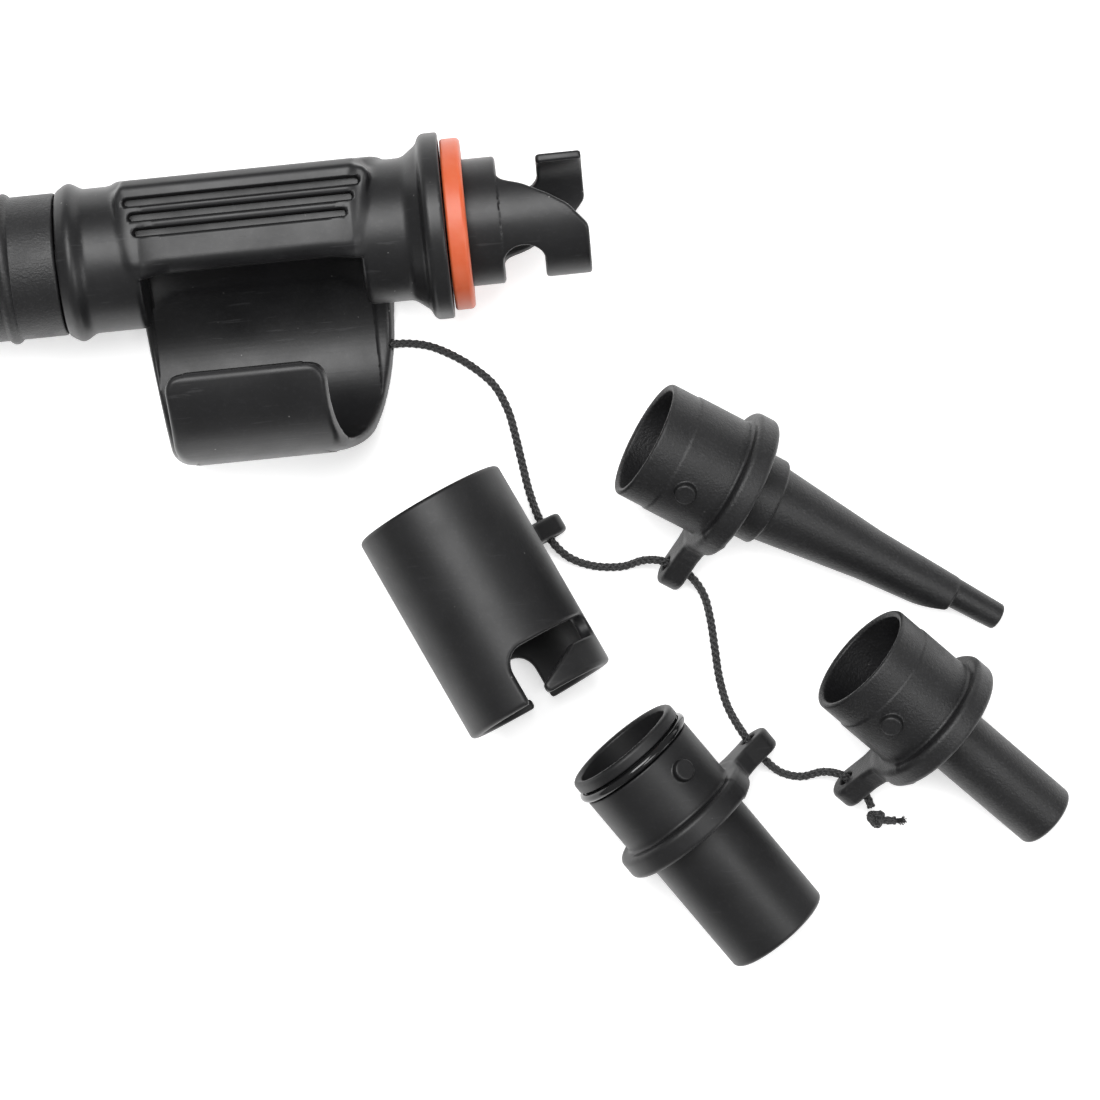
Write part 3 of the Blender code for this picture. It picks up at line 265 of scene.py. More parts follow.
class Skin:
    """Turns a solid into a closed mesh of even quads that lie exactly on its surface."""

    BLOCK = 6

    def __init__(self, solid: Solid, low: Sequence[float], high: Sequence[float], step: float) -> None:
        """Keep the solid, the box it lies in and the mesh's spacing."""
        self.solid, self.step = solid, step
        self.low = np.array(low, float) - 2.3 * step
        self.blocks = np.ceil((np.array(high, float) + 2.3 * step - self.low)
                              / (step * self.BLOCK)).astype(int)

    def sample(self) -> np.ndarray:
        """Distances on a grid, exact only near the surface."""
        block, step = self.BLOCK, self.step
        index = np.stack(np.meshgrid(*[np.arange(n) for n in self.blocks], indexing="ij"), -1).reshape(-1, 3)
        rough = self.solid.distance(self.low + (index + 0.5) * block * step)
        sign = np.where(rough < 0, -1.0, 1.0).reshape(self.blocks)
        for axis in range(3):
            sign = np.repeat(sign, block, axis)
        values = np.pad(sign, ((0, 1),) * 3, mode="edge")
        near = index[np.abs(rough) < block * step * 1.1 + 0.0006]
        offset = np.stack(np.meshgrid(*[np.arange(block + 1)] * 3, indexing="ij"), -1).reshape(-1, 3)
        for chunk in np.array_split(near, max(1, len(near) // 1500)):
            spots = (chunk[:, None, :] * block + offset[None]).reshape(-1, 3)
            values[spots[:, 0], spots[:, 1], spots[:, 2]] = self.solid.distance(self.low + spots * step)
        return values

    def gradient(self, spots: Points, reach: float) -> np.ndarray:
        """Slope of the distance at points."""
        slope = np.empty_like(spots)
        for axis in range(3):
            shift = np.zeros(3)
            shift[axis] = reach
            slope[:, axis] = (self.solid.distance(spots + shift)
                              - self.solid.distance(spots - shift)) / (2 * reach)
        return slope

    def mesh(self, name: str) -> bpy.types.Mesh:
        """Build the mesh.

        Args:
            name: Name of the mesh.

        Returns:
            A closed mesh with normals taken from the field.
        """
        values = self.sample()
        inside = values < 0
        cells = np.array(values.shape) - 1
        total = np.zeros((int(np.prod(cells)), 3))
        count = np.zeros(len(total))
        quads = []
        for axis in range(3):
            here = [slice(None)] * 3
            after = [slice(None)] * 3
            here[axis], after[axis] = slice(0, -1), slice(1, None)
            low, high = inside[tuple(here)], inside[tuple(after)]
            spot = np.argwhere(low != high)
            first = values[tuple(here)][tuple(spot.T)]
            last = values[tuple(after)][tuple(spot.T)]
            crossing = spot.astype(float)
            crossing[:, axis] += first / (first - last)
            side, up = (axis + 1) % 3, (axis + 2) % 3
            corners = []
            for move_side, move_up in ((0, 0), (-1, 0), (-1, -1), (0, -1)):
                cell = spot.copy()
                cell[:, side] += move_side
                cell[:, up] += move_up
                flat = (cell[:, 0] * cells[1] + cell[:, 1]) * cells[2] + cell[:, 2]
                corners.append(flat)
                for column in range(3):
                    total[:, column] += np.bincount(flat, crossing[:, column], len(total))
                count += np.bincount(flat, minlength=len(total))
            faces = np.stack(corners, 1)
            outward = first < 0
            quads.append(np.where(outward[:, None], faces, faces[:, ::-1]))
        used = np.flatnonzero(count)
        lookup = np.full(len(total), -1)
        lookup[used] = np.arange(len(used))
        spots = self.low + total[used] / count[used, None] * self.step
        for _ in range(3):
            slope = self.gradient(spots, 0.00005)
            size = np.maximum((slope ** 2).sum(1), 0.1)
            move = slope * (self.solid.distance(spots) / size)[:, None]
            length = np.linalg.norm(move, axis=1, keepdims=True)
            spots -= move * np.minimum(1.0, 0.5 * self.step / np.maximum(length, 1e-9))
        normals = self.gradient(spots, 0.00012)
        normals /= np.maximum(np.linalg.norm(normals, axis=1, keepdims=True), 1e-9)
        made = bpy.data.meshes.new(name)
        made.from_pydata(spots.tolist(), [], lookup[np.concatenate(quads)].tolist())
        made.polygons.foreach_set("use_smooth", [True] * len(made.polygons))
        made.update()
        made.normals_split_custom_set_from_vertices(normals.tolist())
        return made


def lathe(name: str, outline: Sequence[Corner], frame: Matrix, around: int = 128) -> bpy.types.Object:
    """A turned ring about the frame's Z, with shading that follows its rounded outline.

    Args:
        name: Name of the piece.
        outline: Closed outline of (radius, height), its solid side to the left going round.
        frame: Frame of the turning axis.
        around: Facets round the axis.

    Returns:
        The piece, with its place in its mesh.
    """
    points = np.array([point[:2] for point in outline], float)
    points = points[np.linalg.norm(points - np.roll(points, 1, 0), axis=1) > 1e-6]
    area = 0.5 * np.sum(points[:, 0] * np.roll(points[:, 1], -1) - np.roll(points[:, 0], -1) * points[:, 1])
    if area < 0:
        points = points[::-1]
    ahead = np.roll(points, -1, 0) - points
    out = np.stack((ahead[:, 1], -ahead[:, 0]), 1)
    normal = out + np.roll(out, 1, 0)
    normal /= np.maximum(np.linalg.norm(normal, axis=1, keepdims=True), 1e-12)
    angle = np.arange(around) * math.tau / around
    turn = np.array(frame.to_3x3())
    ring = np.stack((np.cos(angle), np.sin(angle)), 1)

    def swept(pairs: np.ndarray) -> np.ndarray:
        """Turn (radius, height) pairs round the axis."""
        flat = pairs[None, :, :1] * ring[:, None, :]
        return np.concatenate((flat, np.broadcast_to(pairs[None, :, 1:], flat.shape[:2] + (1,))),
                              2).reshape(-1, 3)

    size = len(points)
    index = np.arange(around * size).reshape(around, size)
    beside, above = np.roll(index, -1, 0), np.roll(index, -1, 1)
    quads = np.stack((index, beside, np.roll(beside, -1, 1), above), -1).reshape(-1, 4)
    mesh = bpy.data.meshes.new(name)
    mesh.from_pydata((swept(points) @ turn.T + np.array(frame.translation)).tolist(), [], quads.tolist())
    mesh.polygons.foreach_set("use_smooth", [True] * len(mesh.polygons))
    mesh.update()
    mesh.normals_split_custom_set_from_vertices((swept(normal) @ turn.T).tolist())
    return linked(name, mesh)


def linked(name: str, data: bpy.types.ID) -> bpy.types.Object:
    """A new object at the origin, linked to the scene."""
    made = bpy.data.objects.new(name, data)
    bpy.context.scene.collection.objects.link(made)
    return made


# ---- node graphs -----------------------------------------------------------------------------------

class Signal:
    """A node's output on which plain arithmetic adds Math nodes."""

    def __init__(self, graph: Graph, socket: bpy.types.NodeSocket) -> None:
        """Wrap a socket of a graph."""
        self.graph, self.socket = graph, socket

    def __add__(self, other: Signal | float) -> Signal:
        """Sum."""
        return self.graph.math("ADD", self, other)

    __radd__ = __add__

    def __mul__(self, other: Signal | float) -> Signal:
        """Product."""
        return self.graph.math("MULTIPLY", self, other)

    __rmul__ = __mul__

    def __sub__(self, other: Signal | float) -> Signal:
        """Difference."""
        return self.graph.math("SUBTRACT", self, other)

    def __rsub__(self, other: float) -> Signal:
        """Difference from a number."""
        return self.graph.math("SUBTRACT", other, self)

    def __truediv__(self, other: Signal | float) -> Signal:
        """Quotient."""
        return self.graph.math("DIVIDE", self, other)

    def cos(self) -> Signal:
        """Cosine of an angle in radians."""
        return self.graph.math("COSINE", self)

    def sin(self) -> Signal:
        """Sine of an angle in radians."""
        return self.graph.math("SINE", self)


class Graph:
    """Adds nodes to a shader or geometry tree."""

    def __init__(self, tree: bpy.types.NodeTree) -> None:
        """Keep the tree."""
        self.tree = tree

    def node(self, kind: str, settings: dict[str, object] | None = None,
             sockets: dict[str | int, object] | None = None) -> bpy.types.Node:
        """Add a node.

        Args:
            kind: The node's type.
            settings: Its properties, set first.
            sockets: Values, Signals or sockets for its inputs.

        Returns:
            The node.
        """
        made = self.tree.nodes.new(kind)
        for key, value in (settings or {}).items():
            setattr(made, key, value)
        for key, value in (sockets or {}).items():
            target = made.inputs[key]
            if isinstance(value, Signal):
                self.tree.links.new(value.socket, target)
            elif isinstance(value, bpy.types.NodeSocket):
                self.tree.links.new(value, target)
            else:
                target.default_value = value
        return made

    def signal(self, made: bpy.types.Node, output: str | int = 0) -> Signal:
        """Wrap one output of a node."""
        return Signal(self, made.outputs[output])

    def math(self, operation: str, *values: Signal | float) -> Signal:
        """Add a Math node."""
        return self.signal(self.node("ShaderNodeMath", {"operation": operation}, dict(enumerate(values))))

    def vector(self, operation: str, sockets: dict[str | int, object]) -> Signal:
        """Add a Vector Math node."""
        return self.signal(self.node("ShaderNodeVectorMath", {"operation": operation}, sockets))

    def spread(self, value: Signal, low: float, high: float, to_low: float, to_high: float) -> Signal:
        """Map a range of values to another, held at its ends."""
        made = self.node("ShaderNodeMapRange", {}, {0: value, 1: low, 2: high, 3: to_low, 4: to_high})
        return self.signal(made)

    def noise(self, place: Signal, size: float, detail: float = 2.0, roughness: float = 0.5) -> Signal:
        """Noise whose features are about the given size in metres."""
        return self.signal(self.node("ShaderNodeTexNoise", {}, {"Vector": place, "Scale": 1.0 / size,
                                                                "Detail": detail, "Roughness": roughness}))


# ---- finishes --------------------------------------------------------------------------------------

class Slot(Enum):
    """The record's material slots."""

    BLACK = "black_plastic"
    SATIN = "satin_plastic"
    GRAINED = "grained_plastic"
    HOSE = "hose_plastic"
    RUBBER = "black_rubber"
    ORANGE = "orange_seal"
    STEEL = "steel"
    BRAID = "braid"


@dataclass(frozen=True)
class Finish:
    """A finish with its grain, painted glints on the grain's peaks, its wear and its dust."""

    name: str
    colour: tuple[float, float, float]
    roughness: float
    spread: float = 0.06                # how far roughness wanders over the surface
    patch: float = 0.006                # size of those patches
    grain: float = 0.0004               # size of the surface's grain
    depth: float = 0.000004             # and how deep it is
    dust: float = 0.0                   # share of pale specks
    scratches: float = 0.0
    metallic: float = 0.0
    specular: float = 0.5
    coat: float = 0.0
    sheen: float = 0.0
    subsurface: float = 0.0
    grain_glint: float = 0.3                 # how strongly the grain's peaks are painted pale, as painted glints of light
    tint: tuple[float, float, float] | None = None      # colour that thin or worn places drift to

    def build(self) -> bpy.types.Material:
        """Make the material.

        Returns:
            A material whose detail follows Object coordinates.
        """
        made = bpy.data.materials.new(self.name)
        made.use_nodes = True
        graph = Graph(made.node_tree)
        shader = made.node_tree.nodes["Principled BSDF"]
        place = graph.signal(graph.node("ShaderNodeTexCoord"), "Object")
        patches = graph.noise(place, self.patch, 4.0, 0.6)
        fine = graph.noise(place, self.grain, 3.0, 0.65)
        rough = graph.spread(patches, 0.3, 0.7, self.roughness - self.spread, self.roughness + self.spread)
        tint = self.tint or tuple(channel * 1.5 for channel in self.colour)
        mixed = graph.node("ShaderNodeMix", {"data_type": "RGBA"},
                           {0: graph.spread(patches, 0.35, 0.75, 0.0, 0.6), 6: (*self.colour, 1.0),
                            7: (*tint, 1.0)})
        colour = graph.signal(mixed, 2)
        # painted glints: the grain's peaks are mixed towards a paler colour, standing in for light caught on
        # the grain
        if self.grain_glint > 0.0:
            glint_mask = graph.spread(fine, 0.53, 0.74, 0.0, self.grain_glint)
            pale = tuple(channel * 4.5 for channel in self.colour)
            colour = graph.signal(graph.node("ShaderNodeMix", {"data_type": "RGBA"},
                                             {0: glint_mask, 6: colour, 7: (*pale, 1.0)}), 2)
            rough = rough - glint_mask * 0.10
        height = fine
        if self.scratches > 0.0:
            turned = graph.signal(graph.node("ShaderNodeMapping", {},
                                             {"Vector": place, "Rotation": (0.0, 0.0, 0.6),
                                                                       "Scale": (1.0, 14.0, 1.0)}))
            lines = graph.noise(turned, 0.009, 3.0, 0.55)
            scratch = graph.spread(lines, 0.655, 0.69, 0.0, self.scratches)
            rough = rough + scratch * 0.22
            height = height - scratch * 0.8
            colour = graph.signal(graph.node("ShaderNodeMix", {"data_type": "RGBA"},
                                             {0: scratch * 0.25, 6: colour, 7: (0.20, 0.20, 0.21, 1.0)}), 2)
        if self.dust > 0.0:
            cells = graph.node("ShaderNodeTexVoronoi", {"feature": "F1"},
                               {"Vector": place, "Scale": 1.0 / 0.0026})
            chosen = graph.spread(graph.noise(place, 0.0031, 1.0), 0.60, 0.64, 0.0, 1.0)
            speck = graph.spread(graph.signal(cells, "Distance"), 0.045, 0.085, 1.0, 0.0) * chosen * self.dust
            colour = graph.signal(graph.node("ShaderNodeMix", {"data_type": "RGBA"},
                                             {0: speck, 6: colour, 7: (0.42, 0.41, 0.40, 1.0)}), 2)
            rough = rough + speck * 0.3
        bump = graph.node("ShaderNodeBump", {}, {"Height": height, "Distance": self.depth, "Strength": 1.0})
        links = made.node_tree.links
        links.new(colour.socket, shader.inputs["Base Color"])
        links.new(rough.socket, shader.inputs["Roughness"])
        links.new(bump.outputs["Normal"], shader.inputs["Normal"])
        shader.inputs["Metallic"].default_value = self.metallic
        shader.inputs["Specular IOR Level"].default_value = self.specular
        shader.inputs["Coat Weight"].default_value = self.coat
        shader.inputs["Coat Roughness"].default_value = 0.12
        shader.inputs["Sheen Weight"].default_value = self.sheen
        shader.inputs["Sheen Roughness"].default_value = 0.5
        shader.inputs["Subsurface Weight"].default_value = self.subsurface
        shader.inputs["Subsurface Radius"].default_value = (1.0, 0.35, 0.15)
        shader.inputs["Subsurface Scale"].default_value = 0.0015
        return made


FINISHES = {
    Slot.BLACK: Finish("satin moulded black plastic", (0.0080, 0.0080, 0.0086), 0.40, 0.06, 0.012, 0.0009,
                       0.000012, dust=0.30, scratches=0.22, specular=0.42, grain_glint=0.18),
    Slot.SATIN: Finish("smooth satin black plastic", (0.0070, 0.0070, 0.0075), 0.46, 0.05, 0.010, 0.0008,
                       0.000010, dust=0.22, scratches=0.10, specular=0.42, grain_glint=0.18),
    Slot.GRAINED: Finish("spark-grained black plastic", (0.0070, 0.0070, 0.0075), 0.46, 0.05, 0.005, 0.00052,
                         0.00012, dust=0.2, specular=0.46, grain_glint=0.55, tint=(0.010, 0.010, 0.0107)),
    Slot.HOSE: Finish("ribbed hose plastic", (0.0085, 0.0085, 0.0090), 0.42, 0.07, 0.020, 0.0011, 0.000020,
                      dust=0.2, specular=0.45, grain_glint=0.3),
    Slot.RUBBER: Finish("glossy black rubber", (0.0050, 0.0050, 0.0053), 0.15, 0.04, 0.003, 0.0007, 0.000004,
                        dust=0.1),
    Slot.ORANGE: Finish("orange silicone", (0.58, 0.100, 0.030), 0.42, 0.06, 0.006, 0.0008, 0.000012,
                        subsurface=0.35, grain_glint=0.0, tint=(0.64, 0.17, 0.09)),
    Slot.STEEL: Finish("plain steel", (0.55, 0.55, 0.56), 0.28, 0.05, 0.004, 0.0003, 0.000003, metallic=1.0,
                       grain_glint=0.0),
    Slot.BRAID: Finish("braided black cord", (0.0065, 0.0065, 0.0070), 0.50, 0.06, 0.002, 0.00020, 0.000030,
                       sheen=0.15, specular=0.6, grain_glint=0.5, tint=(0.013, 0.013, 0.014)),
}


class Wardrobe:
    """Builds each finish once, and dresses pieces in them."""

    def __init__(self) -> None:
        """Build the materials."""
        self.materials = {slot: finish.build() for slot, finish in FINISHES.items()}

    def dress(self, piece: bpy.types.Object, slot: Slot, body: str, *nodes: str) -> bpy.types.Object:
        """Finish a piece and tie it to its CAD body.

        Args:
            piece: The visible piece.
            slot: Its finish.
            body: CAD body that it rides on.
            nodes: CAD nodes that it stands for.

        Returns:
            The piece.
        """
        piece.data.materials.clear()
        piece.data.materials.append(self.materials[slot])
        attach(piece, body)
        if nodes:
            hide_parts(*nodes)
        LOG.info("%s rides on %s as %s", piece.name, body, slot.value)
        return piece

    def carry(self, node: bpy.types.Object, slot: Slot) -> None:
        """Give a CAD node that stays its finish."""
        node.data.materials.clear()
        node.data.materials.append(self.materials[slot])
        LOG.info("%s stays, as %s", node.name, slot.value)


# ---- curves and trees that follow them -----------------------------------------------------------------

def smooth_route(route: Sequence[Sequence[float]], spacing: float) -> list[Vector]:
    """Points at an even spacing on a smooth curve through a route."""
    points = [Vector(point) for point in route]
    ends = [2 * points[0] - points[1]] + points + [2 * points[-1] - points[-2]]
    fine: list[Vector] = []
    for before, start, end, after in zip(ends, ends[1:], ends[2:], ends[3:]):
        for step in range(16):
            t = step / 16
            fine.append(0.5 * (2 * start + (end - before) * t
                               + (2 * before - 5 * start + 4 * end - after) * t * t
                               + (3 * start - before - 3 * end + after) * t ** 3))
    fine.append(points[-1])
    reach = np.concatenate(([0.0], np.cumsum([(b - a).length for a, b in zip(fine, fine[1:])])))
    places = np.linspace(0.0, reach[-1], max(2, round(reach[-1] / spacing)) + 1)
    columns = [np.interp(places, reach, [point[axis] for point in fine]) for axis in range(3)]
    return [Vector(point) for point in zip(*columns)]


def line_object(name: str, points: Sequence[Vector]) -> bpy.types.Object:
    """A bare curve through points."""
    curve = bpy.data.curves.new(name, "CURVE")
    curve.dimensions = "3D"
    spline = curve.splines.new("POLY")
    spline.points.add(len(points) - 1)
    for target, spot in zip(spline.points, points):
        target.co = (*spot, 1.0)
    return linked(name, curve)


class PathTree:
    """A Geometry Nodes tree that turns a curve into a mesh, with named inputs for its sizes."""

    def __init__(self, name: str, sizes: dict[str, float], material: bpy.types.Material) -> None:
        """Start the tree.

        Args:
            name: Name of the tree.
            sizes: Named sizes, in metres or as counts.
            material: Finish of the result.
        """
        self.tree = bpy.data.node_groups.new(name, "GeometryNodeTree")
        self.sizes, self.material = sizes, material
        self.tree.interface.new_socket("Geometry", in_out="INPUT", socket_type="NodeSocketGeometry")
        for key in sizes:
            self.tree.interface.new_socket(key, in_out="INPUT", socket_type="NodeSocketFloat")
        self.tree.interface.new_socket("Geometry", in_out="OUTPUT", socket_type="NodeSocketGeometry")
        self.graph = Graph(self.tree)
        self.start = self.graph.node("NodeGroupInput")

    def size(self, key: str) -> Signal:
        """A named size."""
        return self.graph.signal(self.start, key)

    def resampled(self, spacing: Signal | float) -> bpy.types.NodeSocket:
        """The curve with points at an even spacing."""
        return self.graph.node("GeometryNodeResampleCurve", {"mode": "LENGTH"},
                               {"Curve": self.start.outputs["Geometry"], "Length": spacing}).outputs[0]

    def circle(self, radius: Signal | float, sides: int) -> bpy.types.NodeSocket:
        """A round profile."""
        return self.graph.node("GeometryNodeCurvePrimitiveCircle", {"mode": "RADIUS"},
                               {"Resolution": sides, "Radius": radius}).outputs[0]

    def swept(self, curve: bpy.types.NodeSocket, profile: bpy.types.NodeSocket,
              scale: Signal | float = 1.0) -> bpy.types.NodeSocket:
        """A profile swept along a curve, capped and smooth."""
        tube = self.graph.node("GeometryNodeCurveToMesh", {}, {"Curve": curve, "Profile Curve": profile,
                                                               "Scale": scale, "Fill Caps": True})
        return self.graph.node("GeometryNodeSetShadeSmooth", {}, {"Geometry": tube.outputs[0]}).outputs[0]

    def finish(self, geometry: bpy.types.NodeSocket) -> None:
        """End the tree with real geometry in its finish."""
        real = self.graph.node("GeometryNodeRealizeInstances", {}, {"Geometry": geometry})
        dressed = self.graph.node("GeometryNodeSetMaterial", {}, {"Geometry": real.outputs[0],
                                                                  "Material": self.material})
        self.graph.node("NodeGroupOutput", {}, {0: dressed.outputs[0]})

    def baked(self, name: str, points: Sequence[Vector]) -> bpy.types.Object:
        """Run the tree on a curve.

        Args:
            name: Name of the piece.
            points: Points of the curve.

        Returns:
            The piece as a plain mesh.
        """
        guide = line_object(f"{name}_line", points)
        modifier = guide.modifiers.new("path", "NODES")
        modifier.node_group = self.tree
        for item in self.tree.interface.items_tree:
            if item.in_out == "INPUT" and item.name in self.sizes:
                modifier[item.identifier] = float(self.sizes[item.name])
        bpy.context.view_layer.update()
        graph = bpy.context.evaluated_depsgraph_get()
        mesh = bpy.data.meshes.new_from_object(guide.evaluated_get(graph))
        mesh.name = name
        bpy.data.objects.remove(guide)
        return linked(name, mesh)


def corrugated(material: bpy.types.Material, radius: float, rib: float, pitch: float) -> PathTree:
    """Tree for a ribbed hose: rounded ribs with narrower valleys along the path."""
    tree = PathTree("ribbed hose", {"Radius": radius, "Rib": rib, "Pitch": pitch}, material)
    along = tree.graph.signal(tree.graph.node("GeometryNodeSplineParameter"), "Length")
    wave = (along / tree.size("Pitch") * math.tau).cos() * 0.5 + 0.5
    scale = 1.0 - tree.size("Rib") / tree.size("Radius") * wave * wave
    tree.finish(tree.swept(tree.resampled(tree.size("Pitch") / 6.0), tree.circle(tree.size("Radius"), 32),
                           scale))
    return tree


def braided(material: bpy.types.Material, radius: float, strands: int, pitch: float) -> PathTree:
    """Tree for a braid: two families of strands that wind opposite ways and pass over and under."""
    tree = PathTree("braid", {"Radius": radius, "Strands": strands, "Pitch": pitch}, material)
    graph = tree.graph
    path = tree.resampled(tree.size("Pitch") / (strands * 7.0))
    copies = graph.node("GeometryNodeDuplicateElements", {"domain": "SPLINE"}, {"Geometry": path,
                                                                                "Amount": 2 * strands})
    number = graph.signal(copies, "Duplicate Index")
    way = 1.0 - 2.0 * graph.math("MODULO", number, 2.0)
    place = graph.math("FLOOR", number * 0.5) * (math.tau / strands)
    turn = graph.signal(graph.node("GeometryNodeSplineParameter"), "Length") / tree.size("Pitch") * math.tau
    angle = way * turn + place
    reach = tree.size("Radius") * (0.60 + way * (turn * float(strands)).cos() * 0.09)
    normal = graph.signal(graph.node("GeometryNodeInputNormal"))
    tangent = graph.signal(graph.node("GeometryNodeInputTangent"))
    side = graph.vector("CROSS_PRODUCT", {0: tangent, 1: normal})
    right = graph.vector("SCALE", {0: normal, "Scale": angle.cos() * reach})
    up = graph.vector("SCALE", {0: side, "Scale": angle.sin() * reach})
    moved = graph.node("GeometryNodeSetPosition", {}, {"Geometry": copies.outputs[0],
                                                       "Offset": graph.vector("ADD", {0: right, 1: up})})
    strand = tree.swept(moved.outputs[0], tree.circle(tree.size("Radius") * 0.34, 6))
    core = tree.swept(path, tree.circle(tree.size("Radius") * 0.50, 8))
    both = graph.node("GeometryNodeJoinGeometry")
    for socket in (strand, core):
        graph.tree.links.new(socket, both.inputs[0])
    tree.finish(both.outputs[0])
    return tree


# ---- where things are ----------------------------------------------------------------------------------

TOUCH = 0.0003
FLANGE_RADIUS = 0.01805


@dataclass
class Bench:
    """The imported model, its finishes, and the valve point that every piece is laid out from."""

    frame: dict[str, object]
    wardrobe: Wardrobe
    valve: Vector = field(default_factory=Vector)

    def __post_init__(self) -> None:
        """Read the valve point from the seal's box."""
        low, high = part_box("valve_seal")
        self.valve = Vector((low.x - TOUCH, (low.y + high.y) / 2, 0.0))

    @property
    def axis(self) -> Matrix:
        """Turning frame of the fitting: Z towards the nozzle's mouth, zero at the flange's front face."""
        return (Matrix.Translation(self.valve + Vector((0, 0, FLANGE_RADIUS)))
                @ Matrix.Rotation(math.pi / 2, 4, "Y"))

    def route(self, points: Sequence[Sequence[float]]) -> list[Vector]:
        """Route points moved from the valve point to the row frame."""
        return [Vector(point) + self.valve for point in points]

    def skinned(self, name: str, solid: Solid, node: str, step: float) -> bpy.types.Object:
        """A solid as a mesh piece, in the box of its CAD node."""
        low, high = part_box(node)
        piece = linked(name, Skin(solid, low, high, step).mesh(name))
        LOG.info("%s has %d quads", name, len(piece.data.polygons))
        return piece


# ---- the fitting -----------------------------------------------------------------------------------------

@dataclass
class Fitting:
    """The moulded body with its clip, the bayonet nozzle and the seal."""

    bench: Bench
    neck: float = 0.0138
    duct: float = 0.0140
    spigot: float = 0.0112
    plate_height: float = 0.0132
    plate_edge: float = 0.0139
    plate_lip: float = 0.0022
    clip_centre: tuple[float, float] = (0.0208, 0.0028)
    clip_radius: float = 0.0178
    clip_wall: float = 0.0030
    clip_tip: float = 75.0
    clip_root: float = 154.0
    left_end: tuple[float, float, float] = (-0.0607, 0.100, 0.107)
    right_end: tuple[float, float, float] = (-0.0149, -0.143, -0.296)
    corner: float = 0.0040
    plate: tuple[tuple[float, float], ...] = ((-0.0628, -0.0127), (-0.0603, -0.0176))
    slots: tuple[tuple[float, float, float], ...] = ((0.0093, -0.0599, -0.0162), (0.00645, -0.0592, -0.0177),
                                                     (0.00345, -0.0585, -0.0192))

    def core(self) -> Solid:
        """Flange, neck, bead and spigot, turned about the axis and solid inside."""
        left, right = self.plate[0]
        bead = [(self.duct + 0.0013 * math.cos(step * math.pi / 12) ** 2, -0.0718 - 0.0005 * step)
                for step in range(-6, 5)]
        outline = rounded([(0.0, 0.0), (FLANGE_RADIUS, 0.0, 0.0005), (FLANGE_RADIUS, -0.0036, 0.0016),
                           (0.0160, -0.0045, 0.0016), (self.neck, -0.0074, 0.0028),
                           (self.neck, right - 0.0048),
                           (self.spigot, right - 0.0095), (self.spigot, left + 0.0090),
                           (self.duct, left + 0.0042),
                           *[point for point in bead[::1]], (self.duct - 0.0001, -0.0743, 0.0003),
                           (self.spigot, -0.0743), (self.spigot, -0.0788), (0.0099, -0.0788),
                           (0.0099, -0.0812),
                           (self.spigot, -0.0812), (self.spigot, -0.0945, 0.0006), (0.0, -0.0945)])
        return revolved(outline).placed(self.bench.axis)

    def across(self, p: Points) -> tuple[np.ndarray, np.ndarray, np.ndarray]:
        """Station along the axis, distance towards the clip, and height above the axis."""
        valve = self.bench.valve
        return p[:, 0] - valve.x, valve.y - p[:, 1], p[:, 2] - FLANGE_RADIUS

    def block_outline(self) -> list[tuple[float, float]]:
        """Section of the duct block with its clip, across the axis."""
        centre, outer = self.clip_centre, self.clip_radius + self.clip_wall
        tip = math.radians(self.clip_tip)
        middle = self.clip_radius + self.clip_wall / 2
        tip_centre = (centre[0] + middle * math.cos(tip), centre[1] + middle * math.sin(tip))
        return [*arc((self.plate_lip, self.plate_height - 0.0022), 0.0022, 90.0, 0.0, 8),
                *arc(centre, self.clip_radius, self.clip_root, 360.0 + self.clip_tip, 90),
                *arc(tip_centre, self.clip_wall / 2, self.clip_tip + 180.0, self.clip_tip, 10)[1:-1],
                *arc(centre, outer, 360.0 + self.clip_tip, 255.0, 80),
                (0.0, centre[1] - outer + 0.0016),
                *arc((-self.plate_edge + 0.0075, -0.0080), 0.0075, 265.0, 180.0, 12),
                *arc((-self.plate_edge + 0.0034, self.plate_height - 0.0034), 0.0034, 180.0, 90.0, 12)]

    def block(self) -> Solid:
        """The block between its slanted ends, with the clip's free corners rounded."""
        section = Section(self.block_outline())
        centre, middle = self.clip_centre, self.clip_radius + self.clip_wall / 2
        reach = centre[0] + self.clip_radius + self.clip_wall

        def distance(p: Points) -> np.ndarray:
            """Distance from the block."""
            s, v, w = self.across(p)
            ends = []
            for (start, side, up), sense in ((self.left_end, -1.0), (self.right_end, 1.0)):
                ends.append(sense * (s - start - side * v - up * w) / math.sqrt(1.0 + side * side + up * up))
            end = np.maximum(*ends)
            angle = np.degrees(np.arctan2(w - centre[1], v - centre[0]))
            angle = np.where(angle > 114.5, angle - 360.0, angle)
            edge = np.radians(angle - self.clip_tip) * middle - self.clip_wall / 2
            for limit in (edge, v - reach):
                over_end, over_edge = end + self.corner, limit + self.corner
                corner = np.hypot(np.maximum(over_end, 0.0), np.maximum(over_edge, 0.0)) - self.corner
                end = np.where((over_end > 0) & (over_edge > 0), np.maximum(end, corner), end)
            return soft_max(section(v, w), end, 0.0009)

        return Solid(distance)

    def flat(self, outline: Sequence[Corner], low: float, high: float, blend: float) -> Solid:
        """A solid drawn from above as (station, towards the clip), between two heights above the axis."""
        section, middle, half = Section(outline), (low + high) / 2, (high - low) / 2

        def distance(p: Points) -> np.ndarray:
            """Distance from the flat solid."""
            s, v, w = self.across(p)
            return soft_max(section(s, v), np.abs(w - middle) - half, blend)

        return Solid(distance)

    def clip_frame(self) -> Matrix:
        """Turning frame on the clip's own axis."""
        offset, rise = self.clip_centre
        spot = self.bench.valve + Vector((0.0, -offset, FLANGE_RADIUS + rise))
        return Matrix.Translation(spot) @ Matrix.Rotation(math.pi / 2, 4, "Y")

